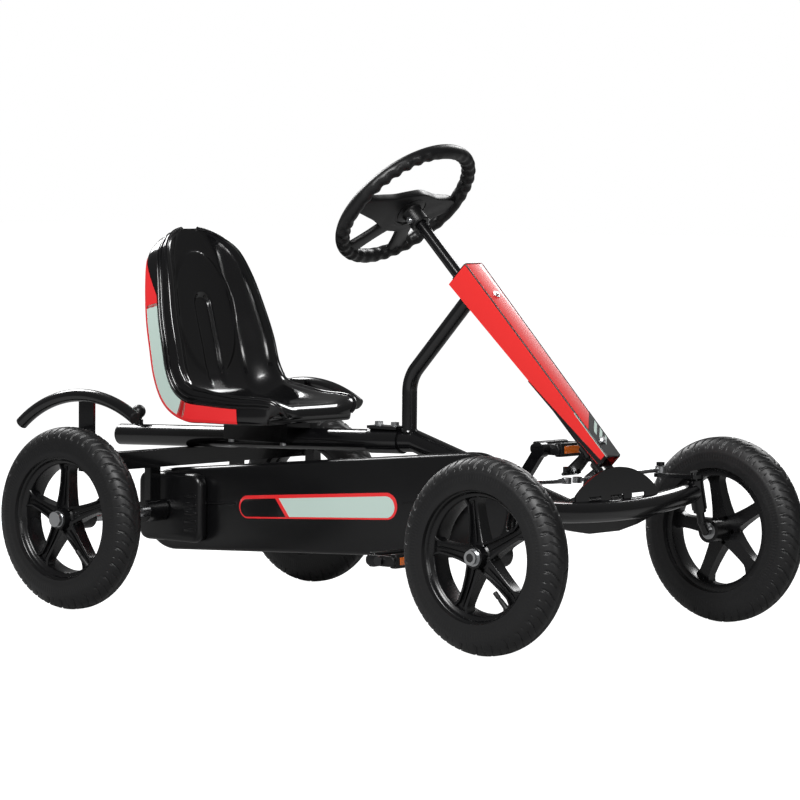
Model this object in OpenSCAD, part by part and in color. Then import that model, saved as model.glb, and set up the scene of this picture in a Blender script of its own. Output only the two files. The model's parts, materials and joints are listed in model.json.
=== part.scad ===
// Pedal go kart: tube frame, swinging front axle, chain drive, bucket seat.
// Millimetres. +X forward, +Y to the driver's left, +Z up. The ground is Z = 0.
// Inside the modules X is counted from the rear axle; placed() moves the kart so
// that the origin is the middle of its footprint.

/* [Wheels] */
// Outside diameter of the tyres
tyre_d = 317; // [280:1:350]
// Width of the tyres
tyre_w = 60; // [48:1:66]
// Diameter of the rim's bead seat
rim_d = 212; // [180:1:230]
// Width of the rim over its lips
rim_w = 46; // [36:1:46]
// Outside diameter of the wheel hub
hub_d = 40; // [36:1:50]
// Reach of the hub outboard of the tyre's middle plane
hub_out = 31; // [26:1:36]
// Reach of the hub inboard of the tyre's middle plane
hub_in = 46; // [36:1:50]
// Width of a spoke at the hub
spoke_root = 22; // [18:0.5:23]
// Width of a spoke at the rim
spoke_tip = 26; // [16:1:30]
// Outside diameter of the wheel bearings
bearing_d = 28; // [26:1:32]
// Width of the wheel bearings
bearing_w = 8; // [6:1:10]

/* [Layout] */
// Distance from the rear axle to the front axle
wheelbase = 926; // [860:1:1100]
// Distance between the middle planes of the rear tyres
rear_track = 630; // [600:1:720]
// Distance between the middle planes of the front tyres
front_track = 646; // [620:1:740]
// How far the backbone tube reaches behind the rear axle
tail = 180; // [165:1:215]

/* [Frame] */
// Diameter of the backbone and front tubes
tube_d = 38; // [32:1:42]
// Wall of the steel tubes
tube_wall = 2; // [1.5:0.1:3]
// Height of the backbone's centre line above the rear axle
backbone_z = 285.6; // [270:0.1:340]
// Rise of the backbone towards the front, degrees
backbone_rise = 1.9; // [0:0.1:3]
// Where the backbone ends and the front tube starts, from the rear axle
joint_x = 512; // [480:1:520]
// Fall of the front tube towards the front axle, degrees
front_fall = 16.5; // [12:0.1:18]
// Diameter of the steering post tube
post_d = 26; // [22:1:30]
// Side of the square rear beam
beam_side = 30; // [24:1:34]
// Length of the rear beam
beam_l = 544; // [480:1:552]
// Diameter of the bars over the rear wheels
hoop_d = 22; // [16:1:26]
// Radius that the bars over the rear wheels are bent to
hoop_r = 238; // [225:1:260]
// Distance between the bars over the rear wheels
hoop_track = 584; // [560:1:620]

/* [Front axle] */
// Diameter of the front bow tube
bow_d = 36; // [30:1:38]
// Height of the bow at the kart's middle
bow_z = 212; // [205:1:216]
// How far the bow's ends stand above its middle
bow_lift = 15; // [8:1:22]
// How far the bow's middle stands ahead of its ends
bow_bulge = 20; // [10:1:28]
// Distance between the two kingpins at sleeve height
kingpin_span = 490; // [470:1:500]
// Lean of the kingpins, tops inwards, degrees
kingpin_lean = 15; // [8:1:18]
// Diameter of the bent stub axles and their kingpins
stub_d = 14; // [12:1:16]
// Length of the kingpin sleeves
sleeve_l = 52; // [44:1:60]
// Height of the swing pivot's axis
pivot_z = 243; // [241:1:250]
// Diameter of the swing pivot bolt
pivot_d = 12; // [10:1:14]

/* [Steering] */
// Tilt of the steering shaft from level, degrees
shaft_tilt = 45; // [42:0.5:48]
// Diameter of the steering shaft
shaft_d = 20; // [16:1:22]
// Diameter over the steering wheel's rim
wheel_d = 279; // [240:1:300]
// Thickness of the steering wheel's rim
wheel_rim = 26; // [20:1:30]
// Length of the drop arm from the shaft to the tie rods
drop_arm = 52; // [46:1:56]
// Length of the track arm behind the kingpin
track_arm = 60; // [54:1:66]
// Diameter of the tie rods
rod_d = 8; // [6:1:10]

/* [Drive] */
// Distance from the rear axle to the crank axle
crank_x = 655; // [600:1:680]
// Height of the crank axle
crank_z = 206; // [200:1:212]
// Length of the crank arms
crank_l = 110; // [95:1:115]
// Distance from the kart's middle plane to the crank arms
crank_y = 80; // [76:1:90]
// Angle of the right crank arm below the horizontal, pointing back, degrees
crank_turn = 54; // [0:1:90]
// Teeth on the chainring
ring_teeth = 34; // [28:1:36]
// Teeth on the rear sprocket
cog_teeth = 20; // [16:1:22]
// Distance from the kart's middle plane to the chain
chain_y = 40; // [39:0.5:42]
// Diameter of the rear axle
axle_d = 20; // [16:1:20]
// Length of a pedal
pedal_l = 95; // [80:1:100]
// Width of a pedal
pedal_w = 62; // [50:1:70]

/* [Chain case] */
// Side of the case nearest the right wheels, from the middle plane
case_out = 60; // [58:1:62]
// Side of the case nearest the backbone, from the middle plane
case_in = 21.5; // [21:0.5:24]
// Radius of the case's rear end
case_rear_r = 72; // [62:1:76]
// Radius of the case's front end
case_front_r = 88; // [84:1:94]
// Wall of the plastic case
case_wall = 2.5; // [2:0.1:3.5]

/* [Seat] */
// Width of the seat over its sides
seat_w = 266; // [220:1:300]
// Height of the seat back above the ground
seat_top = 656; // [600:1:700]
// Front edge of the seat, ahead of the rear axle
seat_front = 292; // [270:1:310]
// Depth of the bucket below its rim
seat_rim = 38; // [26:1:44]

/* [Hidden] */
$fn = 64;

// Clearances: a running fit on a radius, the gap between pieces that touch,
// and how far a cut runs past the face that it opens.
run = 0.05;
seat_gap = 0.1;
eps = 0.5;

// Right is -Y, left is +Y.
right = -1;
left = 1;

axle_z = tyre_d / 2;
plug_lip = 3.1;
tail_end = tail + plug_lip * cos(backbone_rise) + tube_d / 2 * sin(backbone_rise);
x_mid = (wheelbase + tyre_d / 2 - tail_end) / 2;
black = [0.05, 0.05, 0.055];
plastic = [0.09, 0.09, 0.095];
red = [0.93, 0.2, 0.2];
zinc = [0.75, 0.76, 0.78];

module placed() translate([-x_mid, 0, 0]) children();

// A round bar from point p to point q.
module bar(p, q, d) {
    v = q - p;
    translate(p) rotate([0, acos(v.z / norm(v)), atan2(v.y, v.x)]) cylinder(h = norm(v), d = d);
}

// The half space ahead of the mitre plane between the backbone and the front tube.
module ahead_of_mitre() translate([joint_x, 0, backbone_at(joint_x)])
    rotate([0, (front_fall - backbone_rise) / 2, 0]) translate([0, -100, -400]) cube([600, 200, 800]);

// A cylinder along Y, centred on the origin.
module y_disc(d, w) rotate([90, 0, 0]) cylinder(h = w, d = d, center = true);

// A plate drawn in the X-Z plane that lies between y and y + w.
module xz_plate(y, w) translate([0, y + w, 0]) rotate([90, 0, 0]) linear_extrude(w) children();

// A plate drawn in the Y-Z plane that lies between x and x + w.
module yz_plate(x, w) translate([x, 0, 0]) rotate([90, 0, 90]) linear_extrude(w) children();

// A hexagon-headed bolt along +Z with its head's seat on the origin.
module hex_bolt(d, l) {
    translate([0, 0, -l]) cylinder(h = l, d = d);
    cylinder(h = 1.2, d = 2.1 * d);
    translate([0, 0, 1.2]) cylinder(h = 0.7 * d, d = 1.9 * d, $fn = 6);
}

// ---- Wheels: built about the Y axis, outboard side towards +Y ----
tyre_bead = rim_d / 2 + seat_gap;
tyre_well = 7;

// Points of one flank-to-flank arc of the tyre, r and y both scaled from the middle.
function tyre_arc(depth, half_w, n) = [for (i = [0 : n]) let (a = 180 * i / n)
    [tyre_d / 2 - depth + (pow(sin(a), 0.75) - 1) * (tyre_d / 2 - tyre_bead - depth), -half_w * sign(cos(a)) * pow(abs(cos(a)), 0.8)]];

module tyre(side) color([0.11, 0.11, 0.115]) rotate([0, 0, side == left ? 0 : 180]) rotate([-90, 0, 0])
    rotate_extrude($fn = 96) difference() {
        polygon(concat([[tyre_bead, -rim_w / 2 + 4]], tyre_arc(0, tyre_w / 2, 24), [[tyre_bead, rim_w / 2 - 4]]));
        polygon(concat([[tyre_bead - 1, -rim_w / 2 + 9]], tyre_arc(tyre_well, tyre_w / 2 - 6, 20), [[tyre_bead - 1, rim_w / 2 - 9]]));
    }

module rim(side) color(plastic) rotate([0, 0, side == left ? 0 : 180]) rotate([-90, 0, 0]) difference() {
    union() {
        rotate_extrude($fn = 96) polygon([
            [rim_d / 2 - 14, -rim_w / 2], [rim_d / 2 + 4, -rim_w / 2],
            [rim_d / 2 + 4, -rim_w / 2 + 3], [rim_d / 2, -rim_w / 2 + 4], [rim_d / 2, rim_w / 2 - 4],
            [rim_d / 2 + 4, rim_w / 2 - 3], [rim_d / 2 + 4, rim_w / 2], [rim_d / 2 - 14, rim_w / 2],
            [rim_d / 2 - 8, rim_w / 2 - 6], [rim_d / 2 - 12, 4], [rim_d / 2 - 12, -8], [rim_d / 2 - 8, -rim_w / 2 + 6]]);
        translate([0, 0, -hub_in]) cylinder(h = hub_in + hub_out, d = hub_d);
        for (k = [0 : 4]) rotate([0, 0, 90 + 72 * k]) translate([0, 0, -7]) linear_extrude(22)
            polygon([[hub_d / 2 - 4, -spoke_root / 2], [rim_d / 2 - 7, -spoke_tip / 2],
                [rim_d / 2 - 7, spoke_tip / 2], [hub_d / 2 - 4, spoke_root / 2]]);
    }
    translate([0, 0, -hub_in - eps]) cylinder(h = hub_in + hub_out + 2 * eps, d = axle_d + 2);
    translate([0, 0, hub_out - bearing_w]) cylinder(h = bearing_w + eps, d = bearing_d + 2 * seat_gap);
    translate([0, 0, -hub_in - eps]) cylinder(h = bearing_w + eps, d = bearing_d + 2 * seat_gap);
}

module bearings(side, bore) color(zinc) rotate([0, 0, side == left ? 0 : 180]) rotate([-90, 0, 0])
    for (z = [-hub_in, hub_out - bearing_w]) translate([0, 0, z]) difference() {
        cylinder(h = bearing_w, d = bearing_d);
        translate([0, 0, -eps]) cylinder(h = bearing_w + 2 * eps, d = bore + 2 * run);
    }

module wheel_at(x, track, side) placed() translate([x, side * track / 2, axle_z]) children();

module rim_front_right() wheel_at(wheelbase, front_track, right) rim(right);
module rim_front_left() wheel_at(wheelbase, front_track, left) rim(left);
module rim_rear_right() wheel_at(0, rear_track, right) rim(right);
module rim_rear_left() wheel_at(0, rear_track, left) rim(left);
module tyre_front_right() wheel_at(wheelbase, front_track, right) tyre(right);
module tyre_front_left() wheel_at(wheelbase, front_track, left) tyre(left);
module tyre_rear_right() wheel_at(0, rear_track, right) tyre(right);
module tyre_rear_left() wheel_at(0, rear_track, left) tyre(left);
module bearings_front_right() wheel_at(wheelbase, front_track, right) bearings(right, stub_d);
module bearings_front_left() wheel_at(wheelbase, front_track, left) bearings(left, stub_d);
module bearings_rear_right() wheel_at(0, rear_track, right) bearings(right, axle_d);
module bearings_rear_left() wheel_at(0, rear_track, left) bearings(left, axle_d);

// ---- Rear axle ----
nut_h = 8;
axle_end = rear_track / 2 + hub_out + seat_gap;

module rear_axle() color(zinc) placed() translate([0, 0, axle_z]) {
    y_disc(axle_d, 2 * (axle_end + nut_h));
    for (s = [right, left]) translate([0, s * (rear_track / 2 - hub_in - seat_gap - 3), 0]) difference() {
        y_disc(axle_d + 8, 6);
        y_disc(axle_d - eps, 7);
    }
}

module axle_nuts() color(zinc) placed() for (s = [right, left])
    translate([0, s * (axle_end + nut_h / 2), axle_z]) rotate([90, 0, 0]) difference() {
        cylinder(h = nut_h - 0.2, d = axle_d + 6, center = true);
        cylinder(h = nut_h + 1, d = axle_d + 2 * run, center = true);
    }

// ---- Backbone, front tube and what is welded to them ----
function backbone_at(x) = backbone_z + x * tan(backbone_rise);
front_end_x = wheelbase - 62;
function front_at(x) = backbone_at(joint_x) - (x - joint_x) * tan(front_fall);

module backbone_bar(d, over = 0) difference() {
    bar([-tail - over, 0, backbone_at(-tail - over)], [joint_x + d, 0, backbone_at(joint_x + d)], d);
    ahead_of_mitre();
}
module front_bars(d, over = 0) intersection() {
    bar([joint_x - d, 0, front_at(joint_x - d)], [front_end_x + over, 0, front_at(front_end_x + over)], d);
    ahead_of_mitre();
}

plunger_x = 40 - tail;
plunger_d = 8;
plunger_boss = 16;

module backbone_tube() color(black) placed() difference() {
    union() {
        backbone_bar(tube_d);
        translate([plunger_x, 0, backbone_at(plunger_x)]) cylinder(h = tube_d / 2 + 8, d = plunger_boss);
    }
    backbone_bar(tube_d - 2 * tube_wall, 1);
    translate([plunger_x, 0, backbone_at(plunger_x)]) cylinder(h = tube_d, d = plunger_d + 2 * run);
}

post_x = joint_x - 14;
// The two lengths differ by a hair so that their surfaces never coincide at the knee.
module column_post() color(black) placed() difference() {
    top = on_shaft(upper_s);
    union() {
        bar([post_x, 0, backbone_at(post_x)], [post_x, 0, corner_z], post_d);
        bar([post_x, 0, corner_z], [top.x, 0, top.z], post_d + 0.02);
        translate([post_x, 0, corner_z]) sphere(d = post_d + 2);
    }
    bar([post_x, 0, backbone_at(post_x) - 1], [post_x, 0, corner_z - 20], post_d - 2 * tube_wall);
    bar([post_x + 16, 0, corner_z + 16], [top.x, 0, top.z], post_d - 2 * tube_wall);
    bar([joint_x - 60, 0, backbone_at(joint_x - 60)], [joint_x + 40, 0, backbone_at(joint_x + 40)], tube_d);
    along_shaft(upper_bush[0], upper_bush[1] - upper_bush[0], bush_d);
}

module front_tube() color(black) placed() difference() {
    front_bars(tube_d);
    front_bars(tube_d - 2 * tube_wall, 1);
    bracket_slot();
}

sleeve_from = joint_x - 97;
sleeve_to = joint_x - 28;
module joint_sleeve() color(black) placed() difference() {
    union() {
        bar([sleeve_from, 0, backbone_at(sleeve_from)], [sleeve_to, 0, backbone_at(sleeve_to)], tube_d + 6);
        translate([(sleeve_from + sleeve_to) / 2, 0, backbone_at(sleeve_from + 35) + tube_d / 2 + 4])
            cube([sleeve_to - sleeve_from - 4, 34, 5], center = true);
    }
    bar([sleeve_from - 5, 0, backbone_at(sleeve_from - 5)], [sleeve_to + 5, 0, backbone_at(sleeve_to + 5)], tube_d + 2 * run);
    for (x = bolt_xs) translate([x, 0, backbone_at(x)]) cylinder(h = tube_d, d = bolt_d + 0.2);
}

bolt_xs = [joint_x - 82, joint_x - 46];
bolt_d = 8;
bolt_seat = tube_d / 2 + 6.5;
module frame_bolts() color(zinc) placed() {
    for (x = bolt_xs) translate([x, 0, backbone_at(sleeve_from + 35) + bolt_seat + 0.1]) hex_bolt(bolt_d, 6);
}

// ---- Steering line: s runs down the shaft from its crossing of the upper cover ----
shaft_o = [595.5, 0, 595.5];
shaft_dir = [cos(shaft_tilt), 0, -sin(shaft_tilt)];
shaft_up = [sin(shaft_tilt), 0, cos(shaft_tilt)];
function on_shaft(s, up = 0) = shaft_o + s * shaft_dir + up * shaft_up;
module shaft_frame(s, up = 0) translate(on_shaft(s, up)) rotate([0, shaft_tilt, 0]) children();
module along_shaft(s, l, d) shaft_frame(s) rotate([0, 90, 0]) cylinder(h = l, d = d);

upper_s = 63;
lower_s = 450;
arm_s = 409;
upper_bush = [38, 100];
lower_bush = [432, 466];
bush_d = shaft_d + 10;
wheel_s = -155;
corner_z = 410;
screw_s = [90, 414];
screw_d = 5;
tab_w = 14;
tab_t = 4;

// The bush tubes, each with the tab that a screw of the cover goes into.
module column_bearings() color(black) placed() for (k = [0, 1]) difference() {
    b = k == 0 ? upper_bush : lower_bush;
    under = cover_face(screw_s[k]) - cover_t - 0.3;
    union() {
        along_shaft(b[0], b[1] - b[0], bush_d);
        shaft_frame(0) xz_plate(-tab_w / 2, tab_w) polygon(k == 0
            ? [[screw_s[k] - 6, 5], [screw_s[k] + 6, 5], [screw_s[k] + 6, under], [screw_s[k] - 6, under]]
            : [[b[0], 5], [b[0] + 8, 5], [b[0] + 8, under - tab_t], [b[0] + 4, under], [screw_s[k] - 7, under],
                [screw_s[k] - 7, under - tab_t], [b[0], under - tab_t]]);
    }
    along_shaft(b[0] - 10, b[1] - b[0] + 20, shaft_d + 2 * run);
    shaft_frame(screw_s[k], under - 9) cylinder(h = 20, d = screw_d + 0.2);
}

module steering_shaft() color(black) placed()
    along_shaft(wheel_s - 6, lower_bush[1] - wheel_s + 6, shaft_d);

// The cover is a channel of three plates that narrows downwards.
cover_top_s = 20;
cover_end_s = 448;
cover_up = 37;
cover_w = [46, 36];
cover_deep = [50, 24];
cover_t = 2.5;
cover_up_end = 31;

// One end of the cover: a thin slice at s, inset by the wall and let down by drop.
module cover_slice(s, k, up, wall, drop) shaft_frame(s)
    translate([0, -cover_w[k] / 2 + wall, up - cover_deep[k] - drop])
        cube([0.1, cover_w[k] - 2 * wall, cover_deep[k] - wall + drop]);

// The block that the cover is cut from, or with a wall the space inside it.
module cover_shape(wall, drop, run_out) hull() {
    cover_slice(cover_top_s - run_out, 0, cover_up, wall, drop);
    cover_slice(cover_end_s + run_out, 1, cover_up_end, wall, drop);
}

function cover_face(s) = cover_up + (cover_up_end - cover_up) * (s - cover_top_s) / (cover_end_s - cover_top_s);

module column_cover() color(red) placed() difference() {
    cover_shape(0, 0, 0);
    cover_shape(cover_t, 20, 0.5);
    for (s = screw_s) shaft_frame(s, 12) cylinder(h = 60, d = screw_d + 0.2);
}

module cover_screws() color(zinc) placed() for (s = screw_s) shaft_frame(s, cover_face(s) + 0.2) {
    translate([0, 0, -8]) cylinder(h = 8, d = screw_d);
    cylinder(h = 1, d = 14);
    translate([0, 0, 1]) cylinder(h = 3, d = 9, $fn = 6);
}

// Bracket at the front tube's end: carries the lower shaft bush and the swing pivot.
bracket_x = front_end_x - 30;
bracket_w = 6;
pivot_x = wheelbase - 24;
module bracket_slot() xz_plate(-bracket_w / 2, bracket_w) bracket_outline();
module bracket_outline() polygon([
    [front_end_x - 34, front_at(front_end_x - 34) - 6], [pivot_x, bow_z - 18],
    [pivot_x + pivot_wall, pivot_z], [pivot_x + pivot_wall, lower_z - 4], [pivot_x - 2, lower_z + 4],
    [pivot_x - 26, lower_z - 13.4], [drop_end.x + 22, rod_in_z - 21.5],
    [front_end_x - 34, front_at(front_end_x - 34) + 10]]);
pivot_wall = 6;
lower_z = on_shaft(lower_s).z;

module head_bracket() color(black) placed() difference() {
    union() {
        xz_plate(-bracket_w / 2, bracket_w) bracket_outline();
        yz_plate(pivot_x, pivot_wall) translate([-22, bow_z - 18]) square([44, pivot_z + 19 - bow_z + 18]);
    }
    along_shaft(lower_bush[0], lower_bush[1] - lower_bush[0], bush_d);
    translate([pivot_x - 20, 0, pivot_z]) rotate([0, 90, 0]) cylinder(h = 40, d = pivot_d + 0.2);
    translate([pivot_x - 24, 0, pivot_z]) rotate([0, 90, 0]) cylinder(h = 24, d = 2 * pivot_d);
}

// ---- Front axle: bow tube with kingpin sleeves, hanger plate and emblem plate ----
sleeve_d = stub_d + 12;
bow_end_y = kingpin_span / 2 - 6;
bow_mid_x = wheelbase + 14;
bow_lift_tilt = atan2(bow_lift, bow_bulge);
plate_t = 8;
plate_x = pivot_x + pivot_wall + 0.5;

// The bow is one arc in a plane that tips so its ends stand above its middle.
module bow_arc(d) translate([bow_mid_x, 0, bow_z]) rotate([0, bow_lift_tilt, 0]) {
    r = (bow_end_y * bow_end_y + pow(norm([bow_bulge, bow_lift]), 2)) / (2 * norm([bow_bulge, bow_lift]));
    a = asin(bow_end_y / r);
    translate([-r, 0, 0]) rotate([0, 0, -a]) rotate_extrude(angle = 2 * a, $fn = 256) translate([r, 0]) circle(d = d);
}

module kingpin_frame(side) translate([wheelbase, side * kingpin_span / 2, sleeve_mid])
    rotate([side * kingpin_lean, 0, 0]) children();
sleeve_mid = bow_z + bow_lift - 4;

module front_bow() color(black) placed() difference() {
    union() {
        bow_arc(bow_d);
        for (s = [right, left]) kingpin_frame(s) cylinder(h = sleeve_l, d = sleeve_d, center = true);
    }
    for (s = [right, left]) kingpin_frame(s) cylinder(h = 2 * sleeve_l, d = stub_d + 2 * run, center = true);
}

module axle_plate() color(black) placed() difference() {
    yz_plate(plate_x, plate_t) difference() {
        polygon([[-170, bow_z + 4], [-150, bow_z - 14], [-90, bow_z - 30], [-40, bow_z - 38], [40, bow_z - 38],
            [90, bow_z - 30], [150, bow_z - 14], [170, bow_z + 4], [60, bow_z + 12], [22, pivot_z + 10],
            [-22, pivot_z + 10], [-60, bow_z + 12]]);
        translate([0, pivot_z]) circle(d = pivot_d + 2 * run);
    }
    bow_arc(bow_d + 0.1);
}

pivot_head = 6;
module pivot_bolt() color(zinc) placed() translate([pivot_x, 0, pivot_z]) rotate([0, 90, 0]) {
    translate([0, 0, -10]) cylinder(h = plate_x + plate_t - pivot_x + 10.4, d = pivot_d);
    translate([0, 0, plate_x + plate_t - pivot_x + 0.4]) cylinder(h = pivot_head, d = 1.5 * pivot_d, $fn = 6);
    translate([0, 0, -10 - pivot_head]) cylinder(h = pivot_head + 9.8, d = 1.5 * pivot_d, $fn = 6);
}

emblem_x = bow_mid_x - 1;
emblem_t = 3;
emblem_w = 222;
emblem_foot = 52;
emblem_top = 302;
module emblem_plate() color(black) placed() difference() {
    yz_plate(emblem_x, emblem_t) emblem_outline();
    bow_arc(bow_d + 2 * seat_gap);
}
module emblem_outline() difference() {
    intersection() {
        translate([0, emblem_foot + 200 - emblem_w * 0.62]) circle(r = emblem_w * 0.62 - 52 + (emblem_top - 200) / 2 + 32, $fn = 128);
        translate([-emblem_w / 2, bow_z + bow_d / 2]) square([emblem_w, 100]);
    }
    for (y = [-58, 0, 58]) translate([y - 18, bow_z]) square([36, bow_d / 2 + 8]);
}

// ---- Bent stub axles, track arms and nuts ----
arm_plate_t = 6;
pin_in = 24;
rod_z = 272;
function king_at(side, up) = [wheelbase, side * (kingpin_span / 2 - up * sin(kingpin_lean)), sleeve_mid + up * cos(kingpin_lean)];
elbow_up = -sleeve_l / 2 - 24;
stub_end = front_track / 2 + hub_out + seat_gap;

module stub_axle(side) color(black) placed() difference() {
    union() {
        bar(king_at(side, elbow_up), king_at(side, sleeve_l / 2 + arm_plate_t + 8), stub_d);
        translate(king_at(side, elbow_up)) sphere(d = stub_d + 1);
        bar(king_at(side, elbow_up), [wheelbase, side * (king_at(left, elbow_up).y + 12), axle_z], stub_d);
        translate([wheelbase, side * (king_at(left, elbow_up).y + 12), axle_z]) sphere(d = stub_d + 1);
        bar([wheelbase, side * (king_at(left, elbow_up).y + 12), axle_z], [wheelbase, side * (stub_end + nut_h), axle_z], stub_d);
        translate(king_at(side, -sleeve_l / 2 - 3)) rotate([side * kingpin_lean, 0, 0]) cylinder(h = 5, d = stub_d + 8, center = true);
    }
}

module stub_nut(side) color(zinc) placed() translate([wheelbase, side * (stub_end + nut_h / 2), axle_z]) rotate([90, 0, 0]) difference() {
    cylinder(h = nut_h - 0.2, d = stub_d + 9, center = true);
    cylinder(h = nut_h + 1, d = stub_d + 2 * run, center = true);
}

track_y = kingpin_span / 2 - pin_in;
track_x = wheelbase - track_arm;
arm_up = sleeve_l / 2 + 1;
pin_d = 8;
arm_z = sleeve_mid + arm_up + arm_plate_t / 2;
eye_h = 12;
pin_top = arm_z + arm_plate_t / 2 + eye_h + 1.2;

module track_arm_plate(side) color(black) placed() {
    difference() {
        translate([0, 0, arm_z - arm_plate_t / 2]) linear_extrude(arm_plate_t) hull() {
            translate([wheelbase, side * (kingpin_span / 2 - arm_up * sin(kingpin_lean))]) circle(d = 30, $fn = 32);
            translate([track_x, side * track_y]) circle(d = 22, $fn = 32);
        }
        translate(king_at(side, arm_up - 20)) rotate([side * kingpin_lean, 0, 0]) cylinder(h = 60, d = stub_d + 2 * run);
        kingpin_frame(side) translate([0, 0, -sleeve_l / 2]) cylinder(h = sleeve_l + 0.4, d = sleeve_d + 8);
    }
    translate([track_x, side * track_y, arm_z + arm_plate_t / 2 - 0.1]) cylinder(h = pin_top - arm_z - arm_plate_t / 2, d = pin_d);
    translate([track_x, side * track_y, pin_top - 0.2]) cylinder(h = 6, d = 14);
}

// Tie rod: an eye on the track arm's pin; its inner end stops under the drop arm.
rod_in_y = 14;
rod_eye_z = arm_z + arm_plate_t / 2 + 0.5 + eye_h / 2;
drop_end = on_shaft(arm_s) - drop_arm * shaft_up;
rod_in_z = drop_end.z - 14;
module tie_rod(side) color(zinc) placed() difference() {
    union() {
        translate([track_x, side * track_y, rod_eye_z]) cylinder(h = eye_h - 1, d = 18, center = true);
        bar([track_x, side * track_y, rod_eye_z], [drop_end.x, side * rod_in_y, rod_in_z], rod_d);
        translate([drop_end.x, side * rod_in_y, rod_in_z]) cylinder(h = 10, d = 16, center = true);
    }
    translate([track_x, side * track_y, rod_eye_z]) cylinder(h = 2 * eye_h, d = pin_d + 2 * run, center = true);
}

module drop_arm_plate() color(black) placed() difference() {
    union() {
        along_shaft(arm_s - 11, 22, shaft_d + 10);
        shaft_frame(arm_s) translate([-2, 0, 0]) rotate([0, 90, 0]) linear_extrude(4) hull() {
            circle(d = 28, $fn = 32);
            translate([drop_arm, 0]) square([12, 44], center = true);
        }
        for (s = [right, left]) translate([drop_end.x, s * rod_in_y, drop_end.z - 3]) cylinder(h = 12, d = 13);
    }
    along_shaft(arm_s - 40, 80, shaft_d + 2 * seat_gap);
}

// ---- Steering wheel ----
wheel_r = (wheel_d - wheel_rim) / 2;
hub_disc = 72;
module steering_wheel() color(plastic) placed() shaft_frame(wheel_s) rotate([0, 90, 0]) difference() {
    union() {
        rotate_extrude($fn = 96) translate([wheel_r, 0]) circle(d = wheel_rim, $fn = 32);
        translate([0, 0, -4]) cylinder(h = 34, d = hub_disc);
        // The wheel's own -X points up the driver's view, so the spokes fill the lower half.
        for (a = [-82, 82]) rotate([0, 0, a]) translate([0, 0, -6]) linear_extrude(12)
            polygon([[20, -30], [wheel_r, -12], [wheel_r, 14], [20, 22]]);
        for (a = [-35, 35]) rotate([0, 0, a]) translate([0, 0, -5]) linear_extrude(10)
            polygon([[20, -13], [wheel_r, -13], [wheel_r, 13], [20, 13]]);
        cylinder(h = 46, d = shaft_d + 14);
    }
    translate([0, 0, -6 - seat_gap]) cylinder(h = 60, d = shaft_d + 2 * seat_gap);
}

clamp_s = wheel_s + 38;
module wheel_clamp_bolt() color(zinc) placed() shaft_frame(clamp_s) {
    for (s = [right, left]) translate([0, s * (shaft_d / 2 + 7.2), 0]) rotate([s * -90, 0, 0]) {
        cylinder(h = 6, d = 13, $fn = 6);
        translate([0, 0, 6]) cylinder(h = 3, d = 6);
    }
}

// ---- Rear beam, bearing blocks and the bars over the wheels ----
beam_top = backbone_z - tube_d / 2 - 0.2;
beam_z = beam_top - beam_side / 2;
block_y = 110;
housing_d = axle_d + 18;
module rear_beam() color(black) placed() difference() {
    translate([0, 0, beam_z]) cube([beam_side, beam_l, beam_side], center = true);
    translate([0, 0, beam_z]) cube([beam_side - 2 * tube_wall, beam_l + 1, beam_side - 2 * tube_wall], center = true);
    backbone_bar(tube_d);
}

module bearing_blocks() color(black) placed() for (s = [right, left]) difference() {
    union() {
        translate([0, s * block_y, axle_z]) y_disc(housing_d, 46);
        translate([0, s * block_y, (axle_z + beam_z - beam_side / 2) / 2]) cube([14, 26, beam_z - beam_side / 2 - axle_z - 0.1], center = true);
    }
    translate([0, s * block_y, axle_z]) y_disc(axle_d + 2 * run, 60);
}

hoop_z = 132;
hoop_x = 10;
hoop_from = 60;
hoop_to = 129;
strap_t = 5;
strap_w = 36;
strap_y = beam_l / 2 + strap_t / 2 + 0.1;
module hoop_arc(side, d, a, b) translate([hoop_x, side * hoop_track / 2, hoop_z]) rotate([90, 0, 0]) rotate([0, 0, a])
    rotate_extrude(angle = b - a, $fn = 128) translate([hoop_r, 0]) circle(d = d);
module hoop(side) color(black) placed() {
    difference() {
        union() {
            hoop_arc(side, hoop_d, hoop_from, hoop_to);
            difference() {
                translate([0, side * strap_y, (beam_z + hoop_z + hoop_r) / 2 - 4]) cube([strap_w, strap_t, hoop_z + hoop_r - beam_z + 22], center = true);
                translate([0, side * (strap_y + 6), hoop_z + hoop_r]) cube([strap_w + 20, 6, 60], center = true);
            }
            translate([0, side * (strap_y + hoop_track / 2) / 2, hoop_z + hoop_r - 1.5]) cube([strap_w - 6, hoop_track / 2 - strap_y + strap_t, 4], center = true);
        }
        hoop_arc(side, hoop_d - 2 * tube_wall, hoop_from - 2, hoop_to + 2);
    }
}

module hoop_plug(side, a) translate([hoop_x, side * hoop_track / 2, hoop_z]) rotate([90, 0, 0]) rotate([0, 0, a])
    translate([hoop_r, 0, 0]) rotate([a == hoop_from ? 90 : -90, 0, 0]) {
        translate([0, 0, 0.1]) cylinder(h = 4, d = hoop_d);
        translate([0, 0, -6]) cylinder(h = 6.1, d = hoop_d - 2 * tube_wall - 8 * seat_gap);
    }
module end_plugs() color(plastic) placed() {
    for (s = [right, left], a = [hoop_from, hoop_to]) hoop_plug(s, a);
    translate([-tail, 0, backbone_at(-tail)]) rotate([0, 90 - backbone_rise, 0]) {
        cylinder(h = 8, d = tube_d - 2 * tube_wall - 2 * seat_gap);
        translate([0, 0, -plug_lip]) cylinder(h = plug_lip - seat_gap, d = tube_d);
    }
}

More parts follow.
